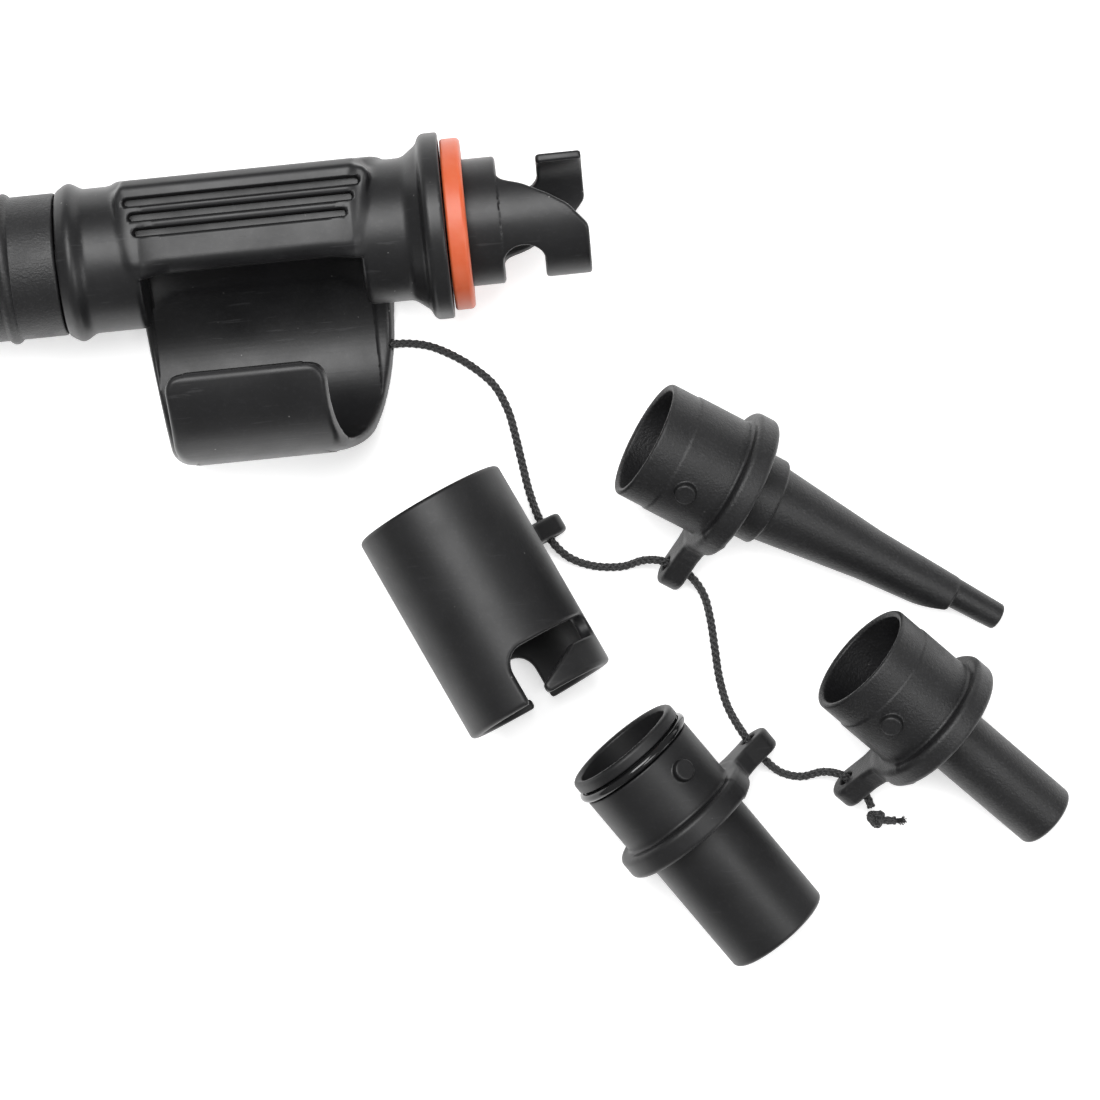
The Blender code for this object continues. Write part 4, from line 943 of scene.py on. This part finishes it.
    def air_way(self) -> Solid:
        """The passage: round at both ends, squeezed beside the clip."""
        left, right = self.plate[0]
        bore = revolved(rounded([(0.0, 0.003), (0.0122, 0.003), (0.0122, -0.0121), (0.0100, -0.0121),
                                 (0.0100, -0.0683), (0.0088, -0.0723), (0.0088, -0.0975), (0.0, -0.0975)]))
        keep = rod(0.0200, left, right + 0.001).placed(self.clip_frame())
        offset, rise = self.clip_centre
        inner = -self.plate_edge + 0.0022
        outline = [*arc((offset, rise), 0.0198, 156.0, 222.0, 24), (-0.0030, -0.0130),
                   (inner + 0.0012, -0.0090), (inner, -0.0060), (inner, self.plate_height - 0.0030)]
        section = Section(outline)
        start, end = left + 0.0045, right - 0.0065

        def duct(p: Points) -> np.ndarray:
            """Distance from the squeezed duct."""
            s, v, w = self.across(p)
            return soft_max(section(v, w), np.abs(s - (start + end) / 2) - (end - start) / 2, 0.0004)

        return bore.placed(self.bench.axis).cut(keep).join(Solid(duct))

    def body(self) -> Solid:
        """The whole moulded body."""
        (far_left, far_right), (near_left, near_right) = self.plate
        plate = self.flat(rounded([(far_left, 0.0017 - self.plate_edge, 0.0020),
                                   (near_left, self.plate_lip, 0.0008),
                                   (near_right, self.plate_lip, 0.0008),
                                   (far_right, 0.0017 - self.plate_edge, 0.0020)]),
                          self.plate_height - 0.0050, self.plate_height, 0.0012)
        solid = self.core().join(self.block(), 0.0030).join(plate, 0.0020)
        solid = solid.cut(rod(self.clip_radius, -0.0588, -0.0165).placed(self.clip_frame()), 0.0014)
        for sideways, start, end in self.slots:
            outline = arc((end, -sideways), 0.00078, -90.0, 90.0, 8) + arc((start, -sideways), 0.00078, 90.0,
                                                                           270.0, 8)
            solid = solid.cut(self.flat(outline, self.plate_height - 0.0021, self.plate_height + 0.002,
                                        0.0002), 0.0004)
        mouth = self.bench.valve + Vector((-0.0178, -0.0211, 0.0016))
        hole = rod(0.0009, 0.0030, 0.010).placed(
            Matrix.Translation(mouth) @ Matrix.Rotation(math.pi / 2, 4, "Y"))
        return solid.cut(hole, 0.0003).cut(self.air_way(), 0.0004)

    def nozzle(self) -> Solid:
        """The bayonet tube with its two hooks."""
        tube = revolved(rounded([(0.0104, 0.0273, 0.0004), (0.0121, 0.0273, 0.0006), (0.0121, 0.0105),
                                 (0.0123, 0.0104),
                                 (0.0123, TOUCH), (0.0119, TOUCH), (0.0119, -0.0078), (0.0106, -0.0078),
                                 (0.0106, -0.0100), (0.0119, -0.0100), (0.0119, -0.0118, 0.0004),
                                 (0.0100, -0.0118)]))
        hooks = wrapped([(31.0, 0.0106, 0.0038), (31.0, 0.0184, 0.0038), (85.5, 0.0184, 0.0009),
                         (85.5, 0.0300, 0.0),
                         (205.0, 0.0300, 0.0), (201.0, 0.0280, 0.0010), (190.0, 0.0262, 0.0080),
                         (175.0, 0.0237, 0.0080), (163.0, 0.0200, 0.0080), (150.0, 0.0152, 0.0080),
                         (142.0, 0.0106, 0.0024)], 0.0123, 1.0, math.pi)
        return tube.cut(hooks, 0.0007).placed(self.bench.axis)

    def build(self) -> None:
        """Make and dress the fitting's pieces."""
        bench, dress = self.bench, self.bench.wardrobe.dress
        dress(bench.skinned("clip_body", self.body(), "fitting_body", 0.00050), Slot.BLACK, "fitting",
              "fitting_body")
        dress(bench.skinned("hooked_nozzle", self.nozzle(), "bayonet_nozzle", 0.00036), Slot.BLACK, "fitting",
              "bayonet_nozzle")
        seal = rounded([(0.0126, TOUCH, 0.0002), (0.0166, TOUCH, 0.0006), (0.0166, 0.0042, 0.0009),
                        (0.0126, 0.0042, 0.0005)])
        dress(lathe("flange_seal", seal, bench.axis, 160), Slot.ORANGE, "fitting", "valve_seal")
        for node, slot in (("nozzle_o_ring", Slot.RUBBER), ("swivel_o_ring", Slot.RUBBER),
                           ("swivel_snap_ring", Slot.STEEL)):
            bench.wardrobe.carry(bench.frame["nodes"][node], slot)


# ---- the hose --------------------------------------------------------------------------------------------

HOSE_RADIUS = 0.0144
HOSE_REST = HOSE_RADIUS + 0.0002
PUMP_RIM = 0.0168
HOSE_ROUTE = ((-0.1084, 0.0, 0.01805), (-0.124, 0.0, 0.01805), (-0.140, 0.0, 0.01795),
              (-0.166, -0.001, 0.0156),
              (-0.192, -0.003, HOSE_REST), (-0.240, -0.009, HOSE_REST), (-0.300, -0.036, HOSE_REST),
              (-0.350, -0.090, HOSE_REST), (-0.366, -0.160, HOSE_REST), (-0.344, -0.230, HOSE_REST),
              (-0.292, -0.284, HOSE_REST), (-0.222, -0.309, HOSE_REST), (-0.140, -0.312, HOSE_REST),
              (-0.050, -0.304, HOSE_REST), (0.010, -0.3005, HOSE_REST), (0.046, -0.300, PUMP_RIM),
              (0.076, -0.300, PUMP_RIM))


@dataclass
class HoseLine:
    """The turning cuff, the ribbed hose and the connector at the pump's end."""

    bench: Bench
    rib: float = 0.0013
    pitch: float = 0.0040
    cuff_length: float = 0.026
    connector_length: float = 0.036
    connector_radius: float = 0.0145

    def cuff(self) -> bpy.types.Object:
        """The plain cuff with one raised rib, on the spigot."""
        rib = [(0.0138 + 0.0008 * math.sin(step * math.pi / 8) ** 0.8, -0.0834 - 0.000325 * step)
               for step in range(1, 8)]
        outline = rounded([(0.0116, -0.0746, 0.0002), (0.0138, -0.0746, 0.0006), (0.0138, -0.0834, 0.0003),
                           *rib,
                           (0.0138, -0.0860, 0.0003), (0.0138, -0.1080, 0.0004), (0.0088, -0.1080, 0.0003),
                           (0.0088, -0.0955), (0.0128, -0.0955), (0.0128, -0.0905), (0.0116, -0.0905)])
        return lathe("swivel_cuff", outline, self.bench.axis, 144)

    def build(self) -> None:
        bench, dress = self.bench, self.bench.wardrobe.dress
        dress(self.cuff(), Slot.GRAINED, "hose_end", "hose_cuff")
        route = smooth_route(bench.route(HOSE_ROUTE), 0.004)
        tree = corrugated(bench.wardrobe.materials[Slot.HOSE], HOSE_RADIUS, self.rib, self.pitch)
        hose = dress(tree.baked("ribbed_hose", route), Slot.HOSE, "fitting", "hose")
        frame = Matrix.Translation(route[-1]) @ Matrix.Rotation(math.pi / 2, 4, "Y")
        end, rim = self.cuff_length, PUMP_RIM
        grips = [(rim - 0.0004 * (step % 2), 0.0040 + 0.0009 * step) for step in range(1, 20)]
        cuff = lathe("pump_cuff", rounded([(0.0010, TOUCH), (rim, TOUCH, 0.0012), *grips, (rim, end, 0.0012),
                                           (0.0105, end, 0.0003), (0.0105, 0.0100), (0.0010, 0.0100)]), frame)
        dress(cuff, Slot.GRAINED, "fitting", "pump_end_cuff")
        start = end + TOUCH
        last, radius = start + self.connector_length, self.connector_radius
        outline = rounded([(0.0101, start, 0.0003), (rim, start, 0.0008), (rim, start + 0.0070, 0.0010),
                           (radius, start + 0.0078, 0.0008), (radius, last - 0.0104, 0.0002),
                           (0.0132, last - 0.0104, 0.0002), (0.0132, last - 0.0080, 0.0002),
                           (radius, last - 0.0080, 0.0002), (radius, last, 0.0012), (0.0081, last, 0.0006),
                           (0.0081, 0.0140), (0.0101, 0.0140)])
        connector = dress(lathe("pump_connector", outline, frame), Slot.BLACK, "pump_end",
                          "pump_end_connector")
        ring = dress(lathe("pump_ring", arc((0.0142, last - 0.0092), 0.0007, 0.0, 345.0, 23), frame),
                     Slot.RUBBER, "pump_end", "pump_end_o_ring")


# ---- the adapters ----------------------------------------------------------------------------------------

@dataclass
class Adapter:
    """What all adapters share: the way they lie, and the lug that the tether runs through."""

    bench: Bench
    name: str
    body: str
    node: str
    slot: Slot
    spot: tuple[float, float]
    heading: float
    side: float
    step: float = 0.00034
    lug_centre: float = 0.0222
    lug_radius: float = 0.0040
    lug_span: tuple[float, float] = (0.0176, 0.0221)
    lug_root: float = 0.0147

    def resting_frame(self, tilt: float, rim: float, drop: float) -> Matrix:
        """Frame of the adapter as it lies: Z along its axis from its mouth, X towards its lug.

        Args:
            tilt: How far its far end dips, in radians.
            rim: Radius of the edge that it rests on.
            drop: Station whose share in the tilt raises it.

        Returns:
            The frame in the row frame.
        """
        height = rim * math.cos(tilt) + max(drop * math.sin(tilt), 0.0)
        station, thickness = sum(self.lug_span) / 2, self.lug_span[1] - self.lug_span[0]
        low = (height - station * math.sin(tilt) - thickness / 2 * abs(math.sin(tilt))) / math.cos(tilt)
        roll = self.side * math.acos((low - self.lug_radius) / self.lug_centre)
        turn = (Matrix.Rotation(math.radians(self.heading), 4, "Z")
                @ Matrix.Rotation(math.pi / 2 + tilt, 4, "Y"))
        spot = self.bench.valve + Vector((*self.spot, height))
        return Matrix.Translation(spot) @ turn @ Matrix.Rotation(roll, 4, "Z")

    def with_lug(self, solid: Solid) -> Solid:
        """The solid with its lug: a concave stem and a round tip with the tether's hole."""
        centre, radius, root = self.lug_centre, self.lug_radius, self.lug_root
        side = [(centre - 0.0045, radius * 0.93, 0.003), (centre - 0.0080, radius + 0.0006, 0.006),
                (centre - 0.0115, radius + 0.0034, 0.004), (root * 0.45, root * 0.82, 0.0)]
        tip = [(x, y, 0.0) for x, y in arc((centre, 0.0), radius, -80.0, 80.0, 20)]
        outline = rounded(tip + side + [(x, -y, edge) for x, y, edge in side[::-1]])
        lug = extruded(outline, *self.lug_span, 0.0010)
        hole = rod(0.0016, -0.01, 0.05).placed(Matrix.Translation((centre, 0.0, 0.0)))
        return solid.join(lug, 0.0012).cut(hole, 0.0005)

    def finish(self, solid: Solid, frame: Matrix) -> None:
        """Make the mesh piece and dress it."""
        piece = self.bench.skinned(self.name, solid.placed(frame), self.node, self.step)
        self.bench.wardrobe.dress(piece, self.slot, self.body, self.node)


@dataclass
class PlugIn(Adapter):
    """An adapter with a socket, two bosses, a rim and an outlet."""

    outlet: tuple[Corner, ...] = ()
    bore: tuple[Corner, ...] = ()
    end: tuple[float, float] = (0.0, 0.0)
    ring_groove: bool = False

    rim: float = 0.0147
    socket: float = 0.0121
    depth: float = 0.0172

    def frame(self) -> Matrix:
        """The adapter lies on its rim and on its outlet's end."""
        return self.resting_frame(math.atan2(self.rim - self.end[0], self.end[1] - 0.0222), self.rim, 0.0222)

    def shell(self) -> Solid:
        """Outer shape, solid inside, with its lug and bosses."""
        if self.ring_groove:
            mouth = [(self.socket, 0.0, 0.0008), (self.socket, 0.0024, 0.0003), (0.01112, 0.0024, 0.0002),
                     (0.01112, 0.0046, 0.0002), (self.socket, 0.0046, 0.0003)]
        else:
            mouth = [(0.0119, 0.0, 0.0006), (0.0119, 0.0059, 0.0001), (self.socket, 0.0062, 0.0001)]
        outline = rounded([(0.0, 0.0), *mouth, (self.socket, 0.0175, 0.0006), (self.rim, 0.0175, 0.0011),
                           (self.rim, 0.0222, 0.0011), *self.outlet])
        solid = self.with_lug(revolved(outline))
        for turn in (0.5, -0.5):
            boss = Matrix.Translation((0.0, 0.0, 0.0097)) @ Matrix.Rotation(turn * math.pi, 4, "Z")
            stud = rod(0.0021, 0.0100, self.socket + 0.0013, 0.0005).placed(
                boss @ Matrix.Rotation(math.pi / 2, 4, "Y"))
            solid = solid.join(stud, 0.0003)
        return solid

    def hollow(self) -> Solid:
        """Socket and bore."""
        mouth = 0.0103 if self.ring_groove else 0.0105
        return revolved(rounded([(0.0, -0.002), (mouth + 0.0005, -0.002), (mouth + 0.0005, 0.0),
                                 (mouth, 0.0005),
                                 (mouth, 0.0070), (0.0105, 0.0075), (0.0105, self.depth, 0.0006),
                                 *self.bore]))

    def build(self) -> None:
        """Make and dress the adapter."""
        self.finish(self.shell().cut(self.hollow(), 0.0004), self.frame())
        if self.ring_groove:
            ring = arc((0.01195, 0.0035), 0.00085, 0.0, 345.0, 23)
            self.bench.wardrobe.dress(lathe(f"{self.name}_ring", ring, self.frame(), 144), Slot.RUBBER,
                                      self.body, f"{self.node}_o_ring")


@dataclass
class Tapered(PlugIn):
    """The long nozzle: a cone cut slantwise on the lug's side, and a tip that carries on its far side."""

    knee: tuple[float, float] = (0.00524, 0.0507)
    cone: tuple[float, float] = (0.00415, 0.0690)
    slanted: tuple[float, float] = (0.0622, 0.0677)
    hidden: float = 0.0020

    def across(self, station: float) -> float:
        """Radius of the cone past its knee, its line carried on to the end of the tip."""
        slope = (self.cone[0] - self.knee[0]) / (self.cone[1] - self.knee[1])
        return self.knee[0] + slope * (station - self.knee[1])

    def build(self) -> None:
        """Make and dress the adapter, tip included."""
        radius, length = self.end
        start, end = self.slanted
        edge, far = self.across(start), self.across(length)
        near = 2 * radius - far
        slant = math.atan2(edge - near, end - start)
        wedge = Solid(lambda p: soft_max((edge - p[:, 0]) * math.cos(slant)
                                         + (start - p[:, 2]) * math.sin(slant), self.knee[1] - p[:, 2], 0.0))
        reach = length - start + self.hidden
        growth = (self.across(length - reach) - far) / (2 * reach)
        place = (Matrix.Translation(((near - far) / 2, 0.0, length))
                 @ Matrix.Rotation(math.atan(growth), 4, "Y"))
        tip = Solid(lambda p: soft_max(np.hypot(p[:, 0], p[:, 1]) - radius + p[:, 2] * growth,
                                       np.abs(p[:, 2] + reach / 2) - reach / 2, 0.0006)).placed(place)
        solid = self.shell().cut(wedge, 0.0006).cut(self.hollow(), 0.0004).join(tip, 0.0003)
        solid = solid.cut(rod(0.0016, 0.045 - length, 0.001).placed(place), 0.0003)
        self.finish(solid, self.frame())


@dataclass
class Sleeve(Adapter):
    """The sleeve that locks on the nozzle's hooks and takes the plug-in adapters in its J slots."""

    length: float = 0.0440
    radius: float = 0.01535
    bore: float = 0.0127
    tilt: float = -4.0

    def build(self) -> None:
        """Make and dress the sleeve."""
        frame = self.resting_frame(math.radians(self.tilt), self.radius, self.length)
        up = frame.to_3x3().inverted() @ Vector((0.0, 0.0, 1.0))
        shell = revolved(rounded([(0.0, 0.0), (self.radius, 0.0, 0.0009), (self.radius, self.length, 0.0009),
                                  (0.0, self.length)]))
        hollow = rod(self.bore, -0.002, self.length + 0.002)
        slot = wrapped([(-8.0, 0.0475, 0.0), (-8.0, 0.0334, 0.0042), (84.0, 0.0334, 0.00215),
                        (84.0, 0.0379, 0.00215),
                        (46.0, 0.0379, 0.0016), (8.3, 0.0422, 0.0008), (8.0, 0.0475, 0.0)],
                       self.radius, -1.0, math.atan2(up.y, up.x))
        solid = self.with_lug(shell).cut(hollow, 0.0006).cut(slot, 0.0008)
        self.finish(solid, frame)
        for node in ("sleeve_pin_a", "sleeve_pin_b"):
            self.bench.wardrobe.carry(self.bench.frame["nodes"][node], Slot.STEEL)


def adapters(bench: Bench) -> list[Adapter]:
    """The four adapters as they lie on the tether."""
    end = 0.0172
    return [
        Sleeve(bench, "slotted_sleeve", "sleeve", "sleeve_adapter", Slot.SATIN, (-0.0089, -0.0533), -65.8,
               1.0, lug_centre=0.0215, lug_radius=0.0036, lug_span=(0.0129, 0.0169), lug_root=0.01535 * 0.9),
        Tapered(bench, "tapered_nozzle", "tapered", "tapered_adapter", Slot.GRAINED, (0.0339, -0.0449), -32.8,
                -1.0, outlet=((0.0088, 0.0222, 0.0008), (0.0088, 0.0278, 0.0007), (0.0077, 0.0278, 0.0004),
                        (*Tapered.knee, 0.0060), (*Tapered.cone, 0.0005), (0.0, Tapered.cone[1])),
                bore=((0.0058, end, 0.0005), (0.0058, 0.030), (0.0016, 0.060), (0.0016, 0.0700),
                      (0.0, 0.0700)), end=(0.00265, 0.0797)),
        PlugIn(bench, "straight_nozzle", "straight", "straight_adapter", Slot.GRAINED, (0.0710, -0.0913),
               -45.8, -1.0, outlet=((0.00655, 0.0222, 0.0009), (0.00655, 0.0510, 0.0009), (0.0, 0.0510)),
               bore=((0.0048, end, 0.0005), (0.0048, 0.0530), (0.0, 0.0530)), end=(0.00655, 0.0510)),
        PlugIn(bench, "large_nozzle", "large", "large_adapter", Slot.SATIN, (0.0235, -0.1032), -55.8, 1.0,
               outlet=((0.01085, 0.0222, 0.0009), (0.01085, 0.0485, 0.0009), (0.0, 0.0485)),
               bore=((0.0090, end, 0.0005), (0.0090, 0.0505), (0.0, 0.0505)), end=(0.01085, 0.0485),
               ring_groove=True),
    ]


# ---- the tether ------------------------------------------------------------------------------------------

CORD_RADIUS = 0.00085
CORD_LOW = CORD_RADIUS + 0.0001
TETHER_ROUTE = (
    (-0.0175, -0.0211, 0.0016), (-0.0150, -0.0211, 0.0016), (-0.0124, -0.0211, 0.0016),
    (-0.0095, -0.0213, 0.0011), (-0.0056, -0.0223, CORD_LOW), (-0.0013, -0.0246, CORD_LOW),
    (0.0027, -0.0276, CORD_LOW), (0.0061, -0.0313, CORD_LOW), (0.0082, -0.0363, CORD_LOW),
    (0.0091, -0.0411, CORD_LOW), (0.0099, -0.0469, 0.0011), (0.0107, -0.0524, 0.0020),
    (0.01198, -0.05769, 0.00332), (0.01329, -0.06060, 0.00354), (0.01460, -0.06351, 0.00376),
    (0.0176, -0.0666, 0.0029), (0.0222, -0.0686, 0.0016), (0.0275, -0.0692, 0.0017),
    (0.0316, -0.0684, 0.0034),
    (0.03516, -0.06884, 0.00505), (0.03779, -0.07054, 0.00438), (0.04042, -0.07224, 0.00371),
    (0.0428, -0.0762, 0.0022), (0.0437, -0.0812, CORD_LOW), (0.0440, -0.0870, CORD_LOW),
    (0.0443, -0.0930, 0.0012), (0.0454, -0.0990, 0.0028),
    (0.04797, -0.10461, 0.00474), (0.04975, -0.10723, 0.00428), (0.05153, -0.10985, 0.00382),
    (0.0544, -0.1126, 0.0023), (0.0584, -0.1139, 0.0015), (0.0626, -0.1133, 0.0034),
    (0.06620, -0.11424, 0.00533), (0.06835, -0.11645, 0.00446), (0.07050, -0.11866, 0.00359),
    (0.0714, -0.1212, 0.0033))


@dataclass
class Tether:
    """The braided cord, the knot that ends it and its frayed tail."""

    bench: Bench
    strands: int = 4
    pitch: float = 0.0052
    knot: float = 0.0021
    fibres: int = 60

    def knot_line(self, centre: Vector) -> list[Vector]:
        """A tight overhand loop round a centre."""
        line = []
        for step in range(97):
            turn = math.tau * step / 96
            line.append(centre + Vector((math.sin(turn) + 2 * math.sin(2 * turn),
                                         math.cos(turn) - 2 * math.cos(2 * turn),
                                         -2.0 * math.sin(3 * turn))) * 0.00040)
        return line

    def tail(self, start: Vector, way: Vector) -> bpy.types.Object:
        """Loose fibres that fan out from the cut end."""
        tree = PathTree("fibre", {"Radius": 0.00007}, self.bench.wardrobe.materials[Slot.BRAID])
        tree.finish(tree.swept(tree.resampled(0.0004), tree.circle(tree.size("Radius"), 4)))
        rng = np.random.default_rng(11)
        guide = []
        for _ in range(self.fibres):
            spread = Vector(rng.normal(0.0, 0.13, 3))
            root = start + Vector(rng.uniform(-0.0004, 0.0004, 3))
            reach = float(rng.uniform(0.0010, 0.0024))
            bend = Vector(rng.normal(0.0, 0.20, 3))
            line = [root + (way + spread * share + bend * share * share).normalized() * reach * share
                    for share in (0.0, 0.25, 0.5, 0.75, 1.0)]
            for point in line:
                point.z = max(point.z, 0.0004)
            guide.append(tree.baked("fibre", line))
        vertices, faces, offset = [], [], 0
        for piece in guide:
            vertices += [tuple(vertex.co) for vertex in piece.data.vertices]
            faces += [[offset + index for index in polygon.vertices] for polygon in piece.data.polygons]
            offset += len(piece.data.vertices)
            bpy.data.objects.remove(piece)
        mesh = bpy.data.meshes.new("frayed_tail")
        mesh.from_pydata(vertices, [], faces)
        return linked("frayed_tail", mesh)

    def build(self) -> None:
        bench, dress = self.bench, self.bench.wardrobe.dress
        route = smooth_route(bench.route(TETHER_ROUTE), 0.0008)
        tree = braided(bench.wardrobe.materials[Slot.BRAID], CORD_RADIUS, self.strands, self.pitch)
        cord = dress(tree.baked("braided_tether", route), Slot.BRAID, "fitting", "tether_cord")
        way = (route[-1] - route[-2]).normalized()
        centre = route[-1] + way * (self.knot + TOUCH)
        knot = dress(tree.baked("end_knot", self.knot_line(centre)), Slot.BRAID, "fitting", "tether_end_knot")
        start = centre + Vector((0.0018, -0.0006, -0.0006))
        short = smooth_route((centre, start, centre + Vector((0.0038, -0.0009, -0.0010))), 0.0005)
        stub = dress(tree.baked("knot_tail", short), Slot.BRAID, "fitting")
        fray = dress(self.tail(short[-1], (short[-1] - short[-2]).normalized()), Slot.BRAID, "fitting")


# ---- the studio ------------------------------------------------------------------------------------------

@dataclass
class Studio:
    """Pale floor, soft light and the camera straight above."""

    aim: tuple[float, float] = (0.01289, 0.00076)
    height: float = 0.900
    turn: float = -5.8
    # half the width in view over the camera's distance, both in millimetres
    view: float = 2 * math.atan(550 * 0.194 / 885)

    def floor(self) -> None:
        """A wide pale floor."""
        mesh = bpy.data.meshes.new("floor")
        side = 3.0
        mesh.from_pydata([(-side, -side, 0), (side, -side, 0), (side, side, 0), (-side, side, 0)], [],
                         [(0, 1, 2, 3)])
        piece = linked("floor", mesh)
        made = bpy.data.materials.new("white table")
        made.use_nodes = True
        shader = made.node_tree.nodes["Principled BSDF"]
        shader.inputs["Base Color"].default_value = (0.90, 0.90, 0.90, 1.0)
        shader.inputs["Roughness"].default_value = 0.55
        shader.inputs["Specular IOR Level"].default_value = 0.3
        shader.inputs["Emission Color"].default_value = (1.0, 1.0, 1.0, 1.0)
        # a table lit from below keeps shadows pale
        shader.inputs["Emission Strength"].default_value = 0.50
        mesh.materials.append(made)

    def lamp(self, name: str, spot: tuple[float, float, float], size: float, power: float) -> None:
        """A soft square lamp that faces the object."""
        light = bpy.data.lights.new(name, "AREA")
        light.energy, light.size = power, size
        lamp = linked(name, light)
        lamp.location = spot
        lamp.rotation_euler = (-Vector(spot)).to_track_quat("-Z", "Y").to_euler()

    def build(self) -> None:
        """Set the stage, the lights and the camera."""
        scene = bpy.context.scene
        self.floor()
        self.lamp("overhead", (-0.20, 0.40, 1.30), 0.90, 20.0)
        self.lamp("fill", (0.75, -0.35, 1.0), 0.5, 5.0)
        world = bpy.data.worlds.new("room")
        scene.world = world
        world.use_nodes = True
        world.node_tree.nodes["Background"].inputs[0].default_value = (1.0, 1.0, 1.0, 1.0)
        world.node_tree.nodes["Background"].inputs[1].default_value = 0.32
        scene.view_settings.view_transform = "Standard"
        camera = bpy.data.cameras.new("camera")
        camera.angle = self.view
        camera.clip_start, camera.clip_end = 0.01, 20.0
        eye = linked("camera", camera)
        eye.matrix_world = (Matrix.Translation((*self.aim, self.height))
                            @ Matrix.Rotation(math.radians(self.turn), 4, "Z"))
        scene.camera = eye


def main() -> None:
    """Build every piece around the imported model."""
    logging.basicConfig(level=logging.INFO, format="%(name)s: %(message)s")
    for leftover in list(bpy.data.objects):
        bpy.data.objects.remove(leftover)
    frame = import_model()
    Studio().build()
    bench = Bench(frame, Wardrobe())
    HoseLine(bench).build()
    Tether(bench).build()
    Fitting(bench).build()
    for adapter in adapters(bench):
        adapter.build()
    bpy.context.view_layer.update()


if __name__ == "__main__":
    main()
